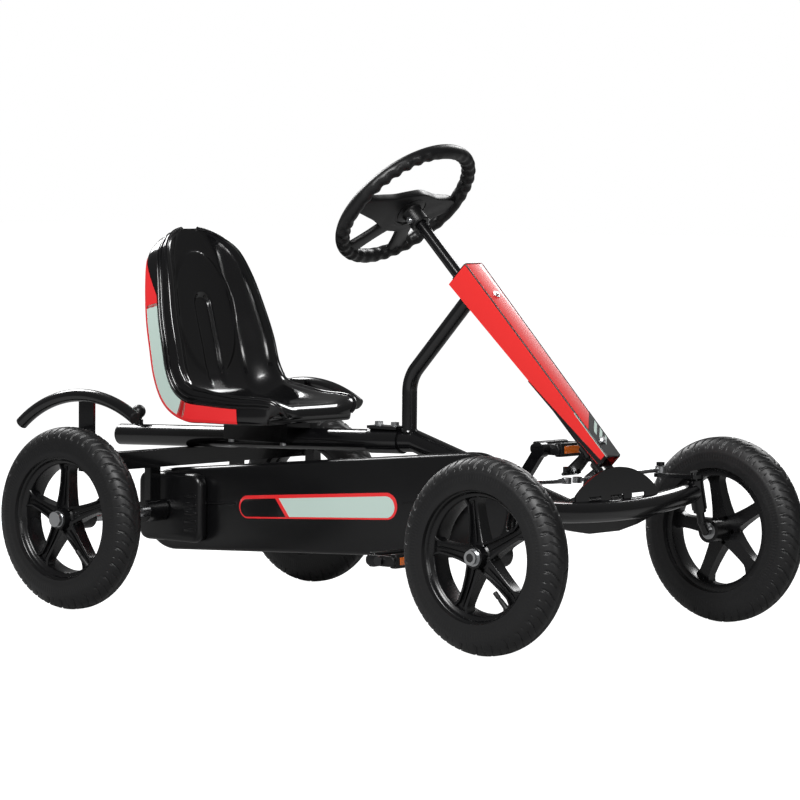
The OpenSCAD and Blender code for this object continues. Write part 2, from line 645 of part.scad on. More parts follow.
// ---- Chain case: two trays and a rear cap ----
case_mid = (case_out + case_in) / 2;
case_front_x = crank_x + 20;
module case_outline(inset) hull() {
    translate([0, axle_z]) circle(r = case_rear_r - inset, $fn = 96);
    translate([case_front_x, crank_z]) circle(r = case_front_r - inset, $fn = 96);
}
cap_hole = 44;
module case_tray(y_face, y_rim) {
    difference() {
        xz_plate(min(y_face, y_rim), abs(y_face - y_rim)) case_outline(0);
        translate([0, y_rim > y_face ? case_wall : -case_wall, 0])
            xz_plate(min(y_face, y_rim), abs(y_face - y_rim)) case_outline(case_wall);
    }
}
module chain_case_outer() color(plastic) placed() difference() {
    case_tray(-case_out, -case_mid - 0.1);
    translate([0, -case_out, axle_z]) y_disc(2 * cap_hole, 20);
    translate([crank_x, -case_out, crank_z]) y_disc(34, 20);
}
module chain_case_inner() color(plastic) placed() difference() {
    case_tray(-case_in, -case_mid + 0.1);
    translate([0, -case_in, axle_z]) y_disc(axle_d + 8, 20);
    translate([crank_x, -case_in, crank_z]) y_disc(34, 20);
}

cap_deep = 24;
module cap_outline(inset) translate([14, axle_z + 6]) offset(r = 22 - inset) square([106, 78], center = true);
module chain_case_cap() color(plastic) placed() translate([0, -case_out - 0.1, 0]) difference() {
    xz_plate(-cap_deep, cap_deep) intersection() { cap_outline(0); translate([-case_rear_r, 0]) square(400); }
    translate([0, case_wall, 0]) xz_plate(-cap_deep, cap_deep) cap_outline(case_wall);
    translate([0, 0, axle_z]) y_disc(axle_d + 8, 100);
}

// ---- Crank, chain and pedals ----
pitch = 12.7;
ring_pr = pitch / 2 / sin(180 / ring_teeth);
cog_pr = pitch / 2 / sin(180 / cog_teeth);
tooth_w = 3;
spindle_d = 16;
crank_w = 16;

// Toothed disc in the X-Z plane, its rollers' circle of radius pr.
module toothed(n, pr) difference() {
    circle(r = pr + 2.4, $fn = 120);
    for (i = [0 : n - 1]) rotate([0, 0, 360 * i / n]) translate([pr, 0]) circle(d = 7.9, $fn = 16);
}

module chainring() color(zinc) placed() translate([crank_x, -chain_y, crank_z]) difference() {
    union() {
        rotate([90, 0, 0]) linear_extrude(tooth_w, center = true) toothed(ring_teeth, ring_pr);
        y_disc(spindle_d + 16, 9);
    }
    y_disc(spindle_d + 2 * seat_gap, 40);
    for (k = [0 : 4]) rotate([0, 72 * k, 0]) translate([ring_pr * 0.58, 0, 0]) y_disc(ring_pr * 0.5, 20);
}

module rear_sprocket() color(zinc) placed() translate([0, -chain_y, axle_z]) difference() {
    union() {
        rotate([90, 0, 0]) linear_extrude(tooth_w, center = true) toothed(cog_teeth, cog_pr);
        translate([0, -8, 0]) y_disc(56, 14);
    }
    y_disc(axle_d + 2 * seat_gap, 60);
}

// The chain is a closed loop of plates clear of the teeth on both sides.
run_v = [crank_x, crank_z - axle_z];
run_l = norm(run_v);
run_a = atan2(run_v.y, run_v.x);
lead = acos((ring_pr - cog_pr) / run_l);
module loop_outline(grow) hull() {
    translate([0, axle_z]) circle(r = cog_pr + grow, $fn = 72);
    translate([crank_x, crank_z]) circle(r = ring_pr + grow, $fn = 72);
}
module chain() color(zinc) placed() xz_plate(-chain_y - 4, 8) difference() {
    loop_outline(7.5);
    loop_outline(3.2);
}

shell_y = [0.1 - case_in, 44];
shell_d = 38;
module bottom_bracket() color(black) placed() difference() {
    union() {
        translate([crank_x, (shell_y[0] + shell_y[1]) / 2, crank_z]) y_disc(shell_d, shell_y[1] - shell_y[0]);
        xz_plate(-3, 6) polygon([[crank_x - 26, crank_z + 6], [crank_x + 26, crank_z + 6],
            [crank_x + 34, front_at(crank_x + 34)], [crank_x - 34, front_at(crank_x - 34)]]);
    }
    translate([crank_x, 0, crank_z]) y_disc(spindle_d + 2 * run, 200);
    front_bars(tube_d);
}

module crank_spindle() color(zinc) placed() translate([crank_x, 0, crank_z]) {
    y_disc(spindle_d, 2 * crank_y);
}

crank_dir = [cos(crank_turn), 0, sin(crank_turn)];
function pedal_at(side) = [crank_x, side * crank_y, crank_z] + side * crank_l * crank_dir;
module crank(side) color(black) placed() difference() {
    union() {
        translate([crank_x, side * crank_y, crank_z]) y_disc(34, crank_w);
        translate(pedal_at(side)) y_disc(26, crank_w);
        translate([crank_x, side * crank_y, crank_z]) rotate([0, -crank_turn, 0]) rotate([90, 0, 0])
            translate([side * crank_l / 2, 0, 0]) cube([crank_l, 20, crank_w - 4], center = true);
        translate(pedal_at(side) + [0, side * (crank_w / 2 + pedal_l / 2), 0]) y_disc(spindle_pedal, pedal_l + 8);
        translate(pedal_at(side) + [0, side * (crank_w / 2 + pedal_l + 5), 0]) y_disc(spindle_pedal + 6, 4);
    }
    translate([crank_x, side * (crank_y - 20), crank_z]) y_disc(spindle_d + 2 * seat_gap, 2 * 20);
}
spindle_pedal = 10;
pedal_h = 24;
module pedal(side) color(plastic) placed() translate(pedal_at(side) + [0, side * (crank_w / 2 + 1.5 + pedal_l / 2), 0]) difference() {
    cube([pedal_w, pedal_l, pedal_h], center = true);
    y_disc(spindle_pedal + 2 * run, pedal_l + 1);
    for (x = [-1, 1], z = [0]) translate([x * pedal_w * 0.32, 0, z]) cube([pedal_w * 0.2, pedal_l - 20, pedal_h + 1], center = true);
}

// ---- Seat ----
bracket_from = 96;
bracket_to = 246;
seat_base = backbone_at(160) + tube_d / 2 + 10;
// Middle line of the seat from the front lip up to the top of the back, heights from the seat's base.
seat_h = seat_top - seat_base;
seat_line = [for (p = [[seat_front, 18], [seat_front - 8, 32], [seat_front - 34, 36], [200, 31], [140, 30], [100, 32], [68, 48],
    [47, 82], [34, 130], [20, 180], [5, seat_h - 96], [-8, seat_h - 36], [-14, seat_h - 12], [-20, seat_h]]) [p.x, seat_base + p.y]];
// Half width, rim rise and body depth at each of those points.
seat_half = [96, 104, 112, 124, 130, 132, 133, 133, 131, 128, 124, 112, 90, 66];
seat_rise = [2, 8, 16, 22, 26, 32, seat_rim, seat_rim, seat_rim, 36, 32, 24, 12, 4];
seat_back = [16, 31, 36, 31, 30, 31, 30, 26, 26, 26, 26, 24, 18, 10];
// Across the seat: share of the half width, share of the rise, share of the depth.
seat_across = [[-1, 0.2, 0], [-0.98, 0.85, 0], [-0.93, 1, 0], [-0.86, 0.9, 0], [-0.76, 0.45, 0], [-0.6, 0.12, 0], [-0.35, 0.02, 0],
    [0, 0, 0], [0.35, 0.02, 0], [0.6, 0.12, 0], [0.76, 0.45, 0], [0.86, 0.9, 0], [0.93, 1, 0], [0.98, 0.85, 0], [1, 0.2, 0],
    [0.99, 0, 0.6], [0.92, 0, 0.95], [0.7, 0, 1], [0, 0, 1], [-0.7, 0, 1], [-0.92, 0, 0.95], [-0.99, 0, 0.6]];
n_st = len(seat_line);
n_ac = len(seat_across);
function seat_dir(i) = let (a = seat_line[max(i - 1, 0)], b = seat_line[min(i + 1, n_st - 1)]) (b - a) / norm(b - a);
function seat_pt(i, a) = let (t = seat_dir(i), up = a[1] * seat_rise[i] - a[2] * seat_back[i])
    [seat_line[i].x + t.y * up, a[0] * seat_half[i] * seat_w / 266, seat_line[i].y - t.x * up];
module seat_shell() color([0.03, 0.03, 0.035]) placed() polyhedron(
    points = [for (i = [0 : n_st - 1], a = seat_across) seat_pt(i, a)],
    faces = concat(
        [[for (j = [0 : n_ac - 1]) j]],
        [for (i = [0 : n_st - 2], j = [0 : n_ac - 1]) let (k = (j + 1) % n_ac)
            [i * n_ac + k, i * n_ac + j, (i + 1) * n_ac + j, (i + 1) * n_ac + k]],
        [[for (j = [n_ac - 1 : -1 : 0]) (n_st - 1) * n_ac + j]]));

module seat_bracket() color(black) placed() difference() {
    union() {
        translate([bracket_from, -30, backbone_at(160) - 4]) cube([bracket_to - bracket_from, 60, seat_base - backbone_at(160) + 3.6]);
    }
    bar([0, 0, backbone_at(0)], [bracket_to + 60, 0, backbone_at(bracket_to + 60)], tube_d + 2 * run);
}

module seat_bolts() color(zinc) placed() for (x = [bracket_from + 14, bracket_to - 14], y = [-24.8, 24.8])
    translate([x, y, backbone_at(160) - 9.1]) cylinder(h = 5, d = 11, $fn = 6);

knob_d = 25;
module plunger_knob() color(plastic) placed() translate([plunger_x, 0, backbone_at(plunger_x)]) {
    translate([0, 0, 4]) cylinder(h = tube_d / 2 + 10, d = plunger_d);
    translate([0, 0, tube_d / 2 + 8 + 1]) cylinder(h = 6, d = 12);
    translate([0, 0, tube_d / 2 + 8 + knob_d / 2 + 2]) sphere(d = knob_d);
}

// Mirrored pairs.
module hoop_right() hoop(right);
module hoop_left() hoop(left);
module tie_rod_right() tie_rod(right);
module tie_rod_left() tie_rod(left);
module stub_axle_right() stub_axle(right);
module stub_axle_left() stub_axle(left);
module track_arm_right() track_arm_plate(right);
module track_arm_left() track_arm_plate(left);
module stub_nut_right() stub_nut(right);
module stub_nut_left() stub_nut(left);
module crank_right() crank(right);
module crank_left() crank(left);
module pedal_right() pedal(right);
module pedal_left() pedal(left);

backbone_tube();
front_tube();
joint_sleeve();
column_post();
column_bearings();
column_cover();
head_bracket();
pivot_bolt();
rear_beam();
bearing_blocks();
hoop_right();
hoop_left();
end_plugs();
chain_case_outer();
chain_case_inner();
chain_case_cap();
bottom_bracket();
chain();
frame_bolts();
cover_screws();
front_bow();
axle_plate();
emblem_plate();
seat_shell();
seat_bracket();
seat_bolts();
plunger_knob();
steering_wheel();
steering_shaft();
wheel_clamp_bolt();
drop_arm_plate();
tie_rod_right();
tie_rod_left();
stub_axle_right();
stub_axle_left();
track_arm_right();
track_arm_left();
stub_nut_right();
stub_nut_left();
rim_front_right();
rim_front_left();
rim_rear_right();
rim_rear_left();
tyre_front_right();
tyre_front_left();
tyre_rear_right();
tyre_rear_left();
bearings_front_right();
bearings_front_left();
bearings_rear_right();
bearings_rear_left();
rear_axle();
axle_nuts();
rear_sprocket();
crank_spindle();
chainring();
crank_right();
crank_left();
pedal_right();
pedal_left();
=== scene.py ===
"""Pedal go kart: the visible pieces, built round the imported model, with studio light and camera."""
from __future__ import annotations

import json
import logging
import math
from dataclasses import dataclass
from enum import Enum
from typing import Callable, Iterable, Sequence

import bmesh
import bpy
import numpy as np
from mathutils import Matrix, Vector


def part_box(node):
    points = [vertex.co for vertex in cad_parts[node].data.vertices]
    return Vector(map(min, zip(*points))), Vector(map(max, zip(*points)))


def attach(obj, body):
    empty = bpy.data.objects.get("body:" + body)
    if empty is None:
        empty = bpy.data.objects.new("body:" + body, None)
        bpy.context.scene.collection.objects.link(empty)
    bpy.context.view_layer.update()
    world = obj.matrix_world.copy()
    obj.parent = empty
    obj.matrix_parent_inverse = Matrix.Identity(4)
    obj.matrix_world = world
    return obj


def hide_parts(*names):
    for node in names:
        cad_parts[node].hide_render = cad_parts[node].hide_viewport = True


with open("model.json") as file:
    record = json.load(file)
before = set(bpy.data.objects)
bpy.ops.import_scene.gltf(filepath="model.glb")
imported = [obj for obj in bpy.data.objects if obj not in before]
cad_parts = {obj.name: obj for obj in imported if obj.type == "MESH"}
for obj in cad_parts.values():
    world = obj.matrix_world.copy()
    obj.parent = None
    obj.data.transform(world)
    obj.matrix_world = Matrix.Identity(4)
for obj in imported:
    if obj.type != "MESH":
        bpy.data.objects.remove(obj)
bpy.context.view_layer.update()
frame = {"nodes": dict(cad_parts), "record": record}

LOG = logging.getLogger("go_kart")
MM = 0.001
Point = tuple[float, float, float]

# Middle of the rear axle: the drawing counts X from here.
AXLE_LOW, AXLE_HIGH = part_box("rear_axle")
REAR_X = (AXLE_LOW[0] + AXLE_HIGH[0]) / 2


def at(x: float, y: float, z: float) -> Vector:
    """Returns the model point for drawing millimetres, X counted from the rear axle."""
    return Vector((REAR_X + x * MM, y * MM, z * MM))


class Side(Enum):
    """Side of the kart; the value is the sign of Y."""

    RIGHT = -1
    LEFT = 1

    @property
    def word(self) -> str:
        """Returns the side's name as the node names use it."""
        return self.name.lower()


# ---------------------------------------------------------------- finishes


@dataclass(frozen=True)
class Finish:
    """A surface finish with an optional fine grain and uneven gloss.

    Attributes:
        name: material name, also the record's slot name where it has one.
        colour: base colour, linear RGB.
        rough: roughness.
        metal: metallic share.
        coat: clear coat weight.
        grain: size of the grain's bumps, in metres; 0 leaves the surface plain.
        grain_scale: how many grains there are to a metre.
        wear: how much the roughness wanders either way.
    """

    name: str
    colour: tuple[float, float, float]
    rough: float
    metal: float = 0.0
    coat: float = 0.0
    grain: float = 0.0
    grain_scale: float = 900.0
    wear: float = 0.0

    def material(self) -> bpy.types.Material:
        """Returns the finish's material, made on first use."""
        found = bpy.data.materials.get("fin_" + self.name)
        if found:
            return found
        made = bpy.data.materials.new("fin_" + self.name)
        made.use_nodes = True
        nodes, links = made.node_tree.nodes, made.node_tree.links
        shader = nodes["Principled BSDF"]
        shader.inputs["Base Color"].default_value = (*self.colour, 1.0)
        shader.inputs["Roughness"].default_value = self.rough
        shader.inputs["Metallic"].default_value = self.metal
        shader.inputs["Coat Weight"].default_value = self.coat
        shader.inputs["Coat Roughness"].default_value = 0.06
        place = nodes.new("ShaderNodeTexCoord")
        if self.wear:
            cloud = nodes.new("ShaderNodeTexNoise")
            cloud.inputs["Scale"].default_value = 26.0
            cloud.inputs["Detail"].default_value = 4.0
            spread = nodes.new("ShaderNodeMapRange")
            spread.inputs["To Min"].default_value = max(self.rough - self.wear, 0.02)
            spread.inputs["To Max"].default_value = self.rough + self.wear
            links.new(place.outputs["Object"], cloud.inputs["Vector"])
            links.new(cloud.outputs["Fac"], spread.inputs["Value"])
            links.new(spread.outputs["Result"], shader.inputs["Roughness"])
        if self.grain:
            noise = nodes.new("ShaderNodeTexNoise")
            noise.inputs["Scale"].default_value = self.grain_scale
            noise.inputs["Detail"].default_value = 3.0
            bump = nodes.new("ShaderNodeBump")
            bump.inputs["Strength"].default_value = 0.5
            bump.inputs["Distance"].default_value = self.grain
            links.new(place.outputs["Object"], noise.inputs["Vector"])
            links.new(noise.outputs["Fac"], bump.inputs["Height"])
            links.new(bump.outputs["Normal"], shader.inputs["Normal"])
        return made


POWDER = Finish("frame_black", (0.0035, 0.0035, 0.004), 0.2, coat=0.4, grain=0.00003, grain_scale=420.0,
                wear=0.04)
PLATE = Finish("emblem_black", (0.0025, 0.0025, 0.003), 0.16, coat=0.5, wear=0.03)
CASE = Finish("case_plastic", (0.004, 0.004, 0.0045), 0.3, grain=0.00006, grain_scale=1400.0, wear=0.05)
MOULDED = Finish("black_plastic", (0.005, 0.005, 0.0055), 0.38, grain=0.00012, grain_scale=1300.0, wear=0.06)
RED_COVER = Finish("cover_red", (0.88, 0.032, 0.030), 0.3, coat=0.4, wear=0.03)
SEAT_GLOSS = Finish("seat_gloss", (0.003, 0.003, 0.0035), 0.16, coat=0.6, grain=0.00005, grain_scale=700.0,
                    wear=0.03)
ZINC = Finish("zinc", (0.60, 0.61, 0.62), 0.3, metal=1.0, wear=0.08)
STEEL = Finish("chain_steel", (0.22, 0.22, 0.23), 0.38, metal=1.0, wear=0.1)
RIM = Finish("rim_plastic", (0.0035, 0.0035, 0.004), 0.27, grain=0.00006, grain_scale=1200.0, wear=0.05)
TYRE = Finish("tyre_rubber", (0.0055, 0.0055, 0.006), 0.46, grain=0.00014, grain_scale=1100.0, wear=0.09)
VALVE = Finish("valve_rubber", (0.012, 0.012, 0.012), 0.5)
FILM_RED = Finish("decal_red", (0.88, 0.030, 0.034), 0.3, coat=0.3)
FILM_GREEN = Finish("decal_green", (0.58, 0.72, 0.66), 0.3, coat=0.3, wear=0.03)
# Black film; the same finish also colours the sheets of painted shade on the column cover's sides.
BLACK_FILM_AND_PAINTED_SHADE = Finish("decal_black", (0.003, 0.003, 0.0035), 0.3, coat=0.2)
ORANGE = Finish("reflector_orange", (0.78, 0.16, 0.01), 0.16, coat=0.8)

# ---------------------------------------------------------------- mesh tools


def piece(name: str, verts: Iterable[Sequence[float]], faces: Iterable[Sequence[int]], finish: Finish,
          body: str, smooth: bool = True, sharp: float = 40.0) -> bpy.types.Object:
    """Makes a mesh piece, dresses it and lets it ride on a body.

    Args:
        name: object name.
        verts: points in metres.
        faces: loops of point numbers.
        finish: the piece's finish.
        body: the body that it rides on.
        smooth: shades the faces smooth where they meet under the sharp angle.
        sharp: that angle, in degrees.

    Returns:
        The finished object.
    """
    mesh = bpy.data.meshes.new(name)
    mesh.from_pydata([tuple(v) for v in verts], [], [tuple(f) for f in faces])
    mesh.validate()
    obj = bpy.data.objects.new(name, mesh)
    bpy.context.scene.collection.objects.link(obj)
    outward(mesh)
    return dress(obj, finish, body, smooth, sharp)


def outward(mesh: bpy.types.Mesh) -> None:
    """Merges doubled points and turns the mesh's faces outwards with bmesh's normal recalculation."""
    work = bmesh.new()
    work.from_mesh(mesh)
    bmesh.ops.remove_doubles(work, verts=work.verts, dist=1e-6)
    bmesh.ops.recalc_face_normals(work, faces=work.faces)
    work.to_mesh(mesh)
    work.free()


def dress(obj: bpy.types.Object, finish: Finish, body: str, smooth: bool = True,
          sharp: float = 40.0) -> bpy.types.Object:
    """Gives an object its finish, slot and body, and shades it."""
    mesh = obj.data
    mesh.materials.clear()
    mesh.materials.append(finish.material())
    if smooth:
        mesh.shade_smooth()
        mesh.set_sharp_from_angle(angle=math.radians(sharp))
    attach(obj, body)
    LOG.info("piece %s on %s", obj.name, body)
    return obj


class Shape:
    """Points and faces gathered from simple solids before they become one piece."""

    def __init__(self) -> None:
        """Starts empty."""
        self.verts: list[Vector] = []
        self.faces: list[tuple[int, ...]] = []

    def add(self, verts: Iterable[Sequence[float]], faces: Iterable[Sequence[int]]) -> "Shape":
        """Adds points and faces, and returns the shape."""
        start = len(self.verts)
        self.verts += [Vector(v) for v in verts]
        self.faces += [tuple(i + start for i in f) for f in faces]
        return self

    def loft(self, rings: Sequence[Sequence[Sequence[float]]], closed: bool = False) -> "Shape":
        """Skins rings of equal length; the ends are capped unless the loft closes on itself."""
        n, m = len(rings), len(rings[0])
        faces: list[tuple[int, ...]] = []
        for i in range(n if closed else n - 1):
            k = (i + 1) % n
            faces += [(i * m + j, i * m + (j + 1) % m, k * m + (j + 1) % m, k * m + j) for j in range(m)]
        if not closed:
            faces += [tuple(range(m))[::-1], tuple((n - 1) * m + j for j in range(m))]
        return self.add([v for ring in rings for v in ring], faces)

    def tube(self, path: Sequence[Vector], radius: float | Callable[[float], float], sides: int = 24,
             closed: bool = False, flat: float = 1.0) -> "Shape":
        """Sweeps a circle along a path.

        Args:
            path: points in metres.
            radius: metres, or a function of the share of the way along.
            sides: points round the circle.
            closed: joins the last point to the first.
            flat: scales the circle across the path's own plane.

        Returns:
            The shape.
        """
        n = len(path)
        tangents = []
        for i in range(n):
            ahead = path[(i + 1) % n] if closed or i < n - 1 else path[i]
            behind = path[i - 1] if closed or i > 0 else path[i]
            tangents.append((ahead - behind).normalized())
        normal = tangents[0].orthogonal().normalized()
        rings = []
        for i in range(n):
            t = tangents[i]
            normal = (normal - t * normal.dot(t)).normalized()
            side = t.cross(normal)
            r = radius(i / max(n - 1, 1)) if callable(radius) else radius
            rings.append([path[i] + r * (math.cos(a) * normal + flat * math.sin(a) * side)
                          for a in (2 * math.pi * j / sides for j in range(sides))])
        return self.loft(rings, closed)

    def lathe(self, profile: Sequence[tuple[float, float]], centre: Vector, axis: Vector, sides: int = 64,
              whole: bool = True) -> "Shape":
        """Turns a profile of (radius, distance along the axis) in millimetres about an axis.

        Args:
            profile: a closed outline if whole, else a line from pole to pole.
            centre: a point on the axis.
            axis: its direction.
            sides: points round the axis.
            whole: says that the profile is a closed outline.

        Returns:
            The shape.
        """
        axis = axis.normalized()
        u = axis.orthogonal().normalized()
        v = axis.cross(u)
        rings = []
        for r, h in profile:
            rings.append([centre + axis * h * MM + r * MM * (math.cos(a) * u + math.sin(a) * v)
                          for a in (2 * math.pi * j / sides for j in range(sides))])
        return self.loft(rings, closed=whole)

    def prism(self, outline: Sequence[tuple[float, float]], place: Callable[[float, float, float], Vector],
              low: float, high: float, bevel: float = 0.0) -> "Shape":
        """Extrudes an outline between two heights with an optional rounded edge.

        Args:
            outline: (a, b) pairs.
            place: turns (a, b, height) into a point.
            low: first height.
            high: second height.
            bevel: size of the rounded edge.

        Returns:
            The shape.
        """
        rings = []
        steps = [(0.0, 0.0)] if not bevel else [(1.0, 0.0), (0.55, 0.14), (0.2, 0.45), (0.0, 1.0)]
        for inset, up in steps:
            rings.append((inset * bevel, low + up * bevel))
        for inset, up in reversed(steps):
            rings.append((inset * bevel, high - up * bevel))
        return self.loft([[place(a, b, h) for a, b in shrink(outline, inset)] for inset, h in rings])

    def make(self, name: str, finish: Finish, body: str, smooth: bool = True,
             sharp: float = 40.0) -> bpy.types.Object:
        """Returns the shape as a finished piece."""
        return piece(name, self.verts, self.faces, finish, body, smooth, sharp)


def shrink(outline: Sequence[tuple[float, float]], inset: float) -> list[tuple[float, float]]:
    """Returns an outline moved inwards by inset along its corners' bisectors."""
    if not inset:
        return list(outline)
    area = sum(a[0] * b[1] - b[0] * a[1] for a, b in zip(outline, list(outline[1:]) + [outline[0]]))
    turn = 1.0 if area > 0 else -1.0
    out = []
    n = len(outline)
    for i in range(n):
        p, q, r = Vector(outline[i - 1]), Vector(outline[i]), Vector(outline[(i + 1) % n])
        e, f = (q - p).normalized(), (r - q).normalized()
        m = Vector((-e.y - f.y, e.x + f.x)) * turn
        m.normalize()
        grip = max(m.dot(Vector((-e.y, e.x)) * turn), 0.4)
        q = q + m * (inset / grip)
        out.append((q.x, q.y))
    return out


def clipped(outline: Sequence[tuple[float, float]], point: tuple[float, float],
            keep: tuple[float, float]) -> list[tuple[float, float]]:
    """Returns the part of an outline on the keep side of the line through a point."""
    out: list[tuple[float, float]] = []
    height = [(x - point[0]) * keep[0] + (z - point[1]) * keep[1] for x, z in outline]
    for i, p in enumerate(outline):
        q, hp, hq = outline[i - 1], height[i], height[i - 1]
        if (hp > 0) != (hq > 0):
            t = hq / (hq - hp)
            out.append((q[0] + (p[0] - q[0]) * t, q[1] + (p[1] - q[1]) * t))
        if hp > 0:
            out.append(p)
    return out


def arc(cx: float, cz: float, r: float, a0: float, a1: float, n: int) -> list[tuple[float, float]]:
    """Returns n + 1 points of an arc between two angles in degrees."""
    return [(cx + r * math.cos(math.radians(a0 + (a1 - a0) * i / n)),
             cz + r * math.sin(math.radians(a0 + (a1 - a0) * i / n))) for i in range(n + 1)]


def hull_of_circles(p: tuple[float, float], rp: float, q: tuple[float, float], rq: float,
                    n: int = 40) -> list[tuple[float, float]]:
    """Returns the outline round two circles, anticlockwise, the second one ahead of the first."""
    dx, dz = q[0] - p[0], q[1] - p[1]
    tilt = math.degrees(math.atan2(dz, dx))
    open_by = math.degrees(math.acos((rp - rq) / math.hypot(dx, dz)))
    return (arc(*q, rq, tilt - open_by, tilt + open_by, n)
            + arc(*p, rp, tilt + open_by, tilt + 360 - open_by, n))


def bent(p: Vector, q: Vector, w: Vector, r: float, n: int = 14) -> list[Vector]:
    """Returns the path from p to w that rounds the corner at q with radius r metres."""
    u, v = (p - q).normalized(), (w - q).normalized()
    half = u.angle(v) / 2
    back = r / math.tan(half)
    a, b = q + u * back, q + v * back
    centre = q + (u + v).normalized() * (r / math.sin(half))
    fro, to = a - centre, b - centre
    turn = fro.angle(to)
    axis = fro.cross(to).normalized()
    mid = [centre + Matrix.Rotation(turn * i / n, 3, axis) @ fro for i in range(n + 1)]
    return [p] + mid + [w]


def repeated(seed: bpy.types.Object, count: int, axis: Point, centre: Point, finish: Finish,
             name: str) -> bpy.types.Object:
    """Repeats a seed object evenly round an axis with Geometry Nodes and returns one plain mesh.

    Args:
        seed: object whose mesh is repeated; it is removed afterwards.
        count: how many copies.
        axis: direction of the axis.
        centre: point on the axis, in metres.
        finish: material of the result.
        name: name of the result.

    Returns:
        The new object, not yet riding on a body.
    """
    tree = bpy.data.node_groups.new("ring_of_" + name, "GeometryNodeTree")
    face = tree.interface
    face.new_socket("Geometry", in_out="INPUT", socket_type="NodeSocketGeometry")
    count_in = face.new_socket("Count", in_out="INPUT", socket_type="NodeSocketInt")
    axis_in = face.new_socket("Axis", in_out="INPUT", socket_type="NodeSocketVector")
    centre_in = face.new_socket("Centre", in_out="INPUT", socket_type="NodeSocketVector")
    finish_in = face.new_socket("Finish", in_out="INPUT", socket_type="NodeSocketMaterial")
    face.new_socket("Geometry", in_out="OUTPUT", socket_type="NodeSocketGeometry")
    nodes, links = tree.nodes, tree.links
    source, sink = nodes.new("NodeGroupInput"), nodes.new("NodeGroupOutput")
    row = nodes.new("GeometryNodeMeshLine")
    row.inputs["Offset"].default_value = (0.0, 0.0, 0.0)
    links.new(source.outputs["Count"], row.inputs["Count"])
    move = nodes.new("GeometryNodeSetPosition")
    links.new(row.outputs["Mesh"], move.inputs["Geometry"])
    links.new(source.outputs["Centre"], move.inputs["Position"])
    number = nodes.new("GeometryNodeInputIndex")
    share = nodes.new("ShaderNodeMath")
    share.operation = "DIVIDE"
    links.new(number.outputs["Index"], share.inputs[0])
    links.new(source.outputs["Count"], share.inputs[1])
    angle = nodes.new("ShaderNodeMath")
    angle.operation = "MULTIPLY"
    angle.inputs[1].default_value = 2 * math.pi
    links.new(share.outputs["Value"], angle.inputs[0])
    spin = nodes.new("FunctionNodeAxisAngleToRotation")
    links.new(source.outputs["Axis"], spin.inputs["Axis"])
    links.new(angle.outputs["Value"], spin.inputs["Angle"])
    back = nodes.new("ShaderNodeVectorMath")
    back.operation = "SCALE"
    back.inputs["Scale"].default_value = -1.0
    links.new(source.outputs["Centre"], back.inputs[0])
    lower = nodes.new("GeometryNodeTransform")
    links.new(source.outputs["Geometry"], lower.inputs["Geometry"])
    links.new(back.outputs["Vector"], lower.inputs["Translation"])
    spread = nodes.new("GeometryNodeInstanceOnPoints")
    links.new(move.outputs["Geometry"], spread.inputs["Points"])
    links.new(lower.outputs["Geometry"], spread.inputs["Instance"])
    links.new(spin.outputs["Rotation"], spread.inputs["Rotation"])
    real = nodes.new("GeometryNodeRealizeInstances")
    links.new(spread.outputs["Instances"], real.inputs["Geometry"])
    paint = nodes.new("GeometryNodeSetMaterial")
    links.new(real.outputs["Geometry"], paint.inputs["Geometry"])
    links.new(source.outputs["Finish"], paint.inputs["Material"])
    links.new(paint.outputs["Geometry"], sink.inputs["Geometry"])
    modifier = seed.modifiers.new("ring", "NODES")
    modifier.node_group = tree
    modifier[count_in.identifier] = count
    modifier[axis_in.identifier] = axis
    modifier[centre_in.identifier] = centre
    modifier[finish_in.identifier] = finish.material()
    graph = bpy.context.evaluated_depsgraph_get()
    graph.update()
    mesh = bpy.data.meshes.new_from_object(seed.evaluated_get(graph))
    seed.modifiers.remove(modifier)
    bpy.data.objects.remove(seed)
    result = bpy.data.objects.new(name, mesh)
    bpy.context.scene.collection.objects.link(result)
    return result


def seed_of(shape: Shape, name: str) -> bpy.types.Object:
    """Returns a shape as a bare object for repeated() to copy."""
    mesh = bpy.data.meshes.new(name + "_seed")
    mesh.from_pydata([tuple(v) for v in shape.verts], [], shape.faces)
    outward(mesh)
    obj = bpy.data.objects.new(name + "_seed", mesh)
    bpy.context.scene.collection.objects.link(obj)
    return obj


# ---------------------------------------------------------------- wheels


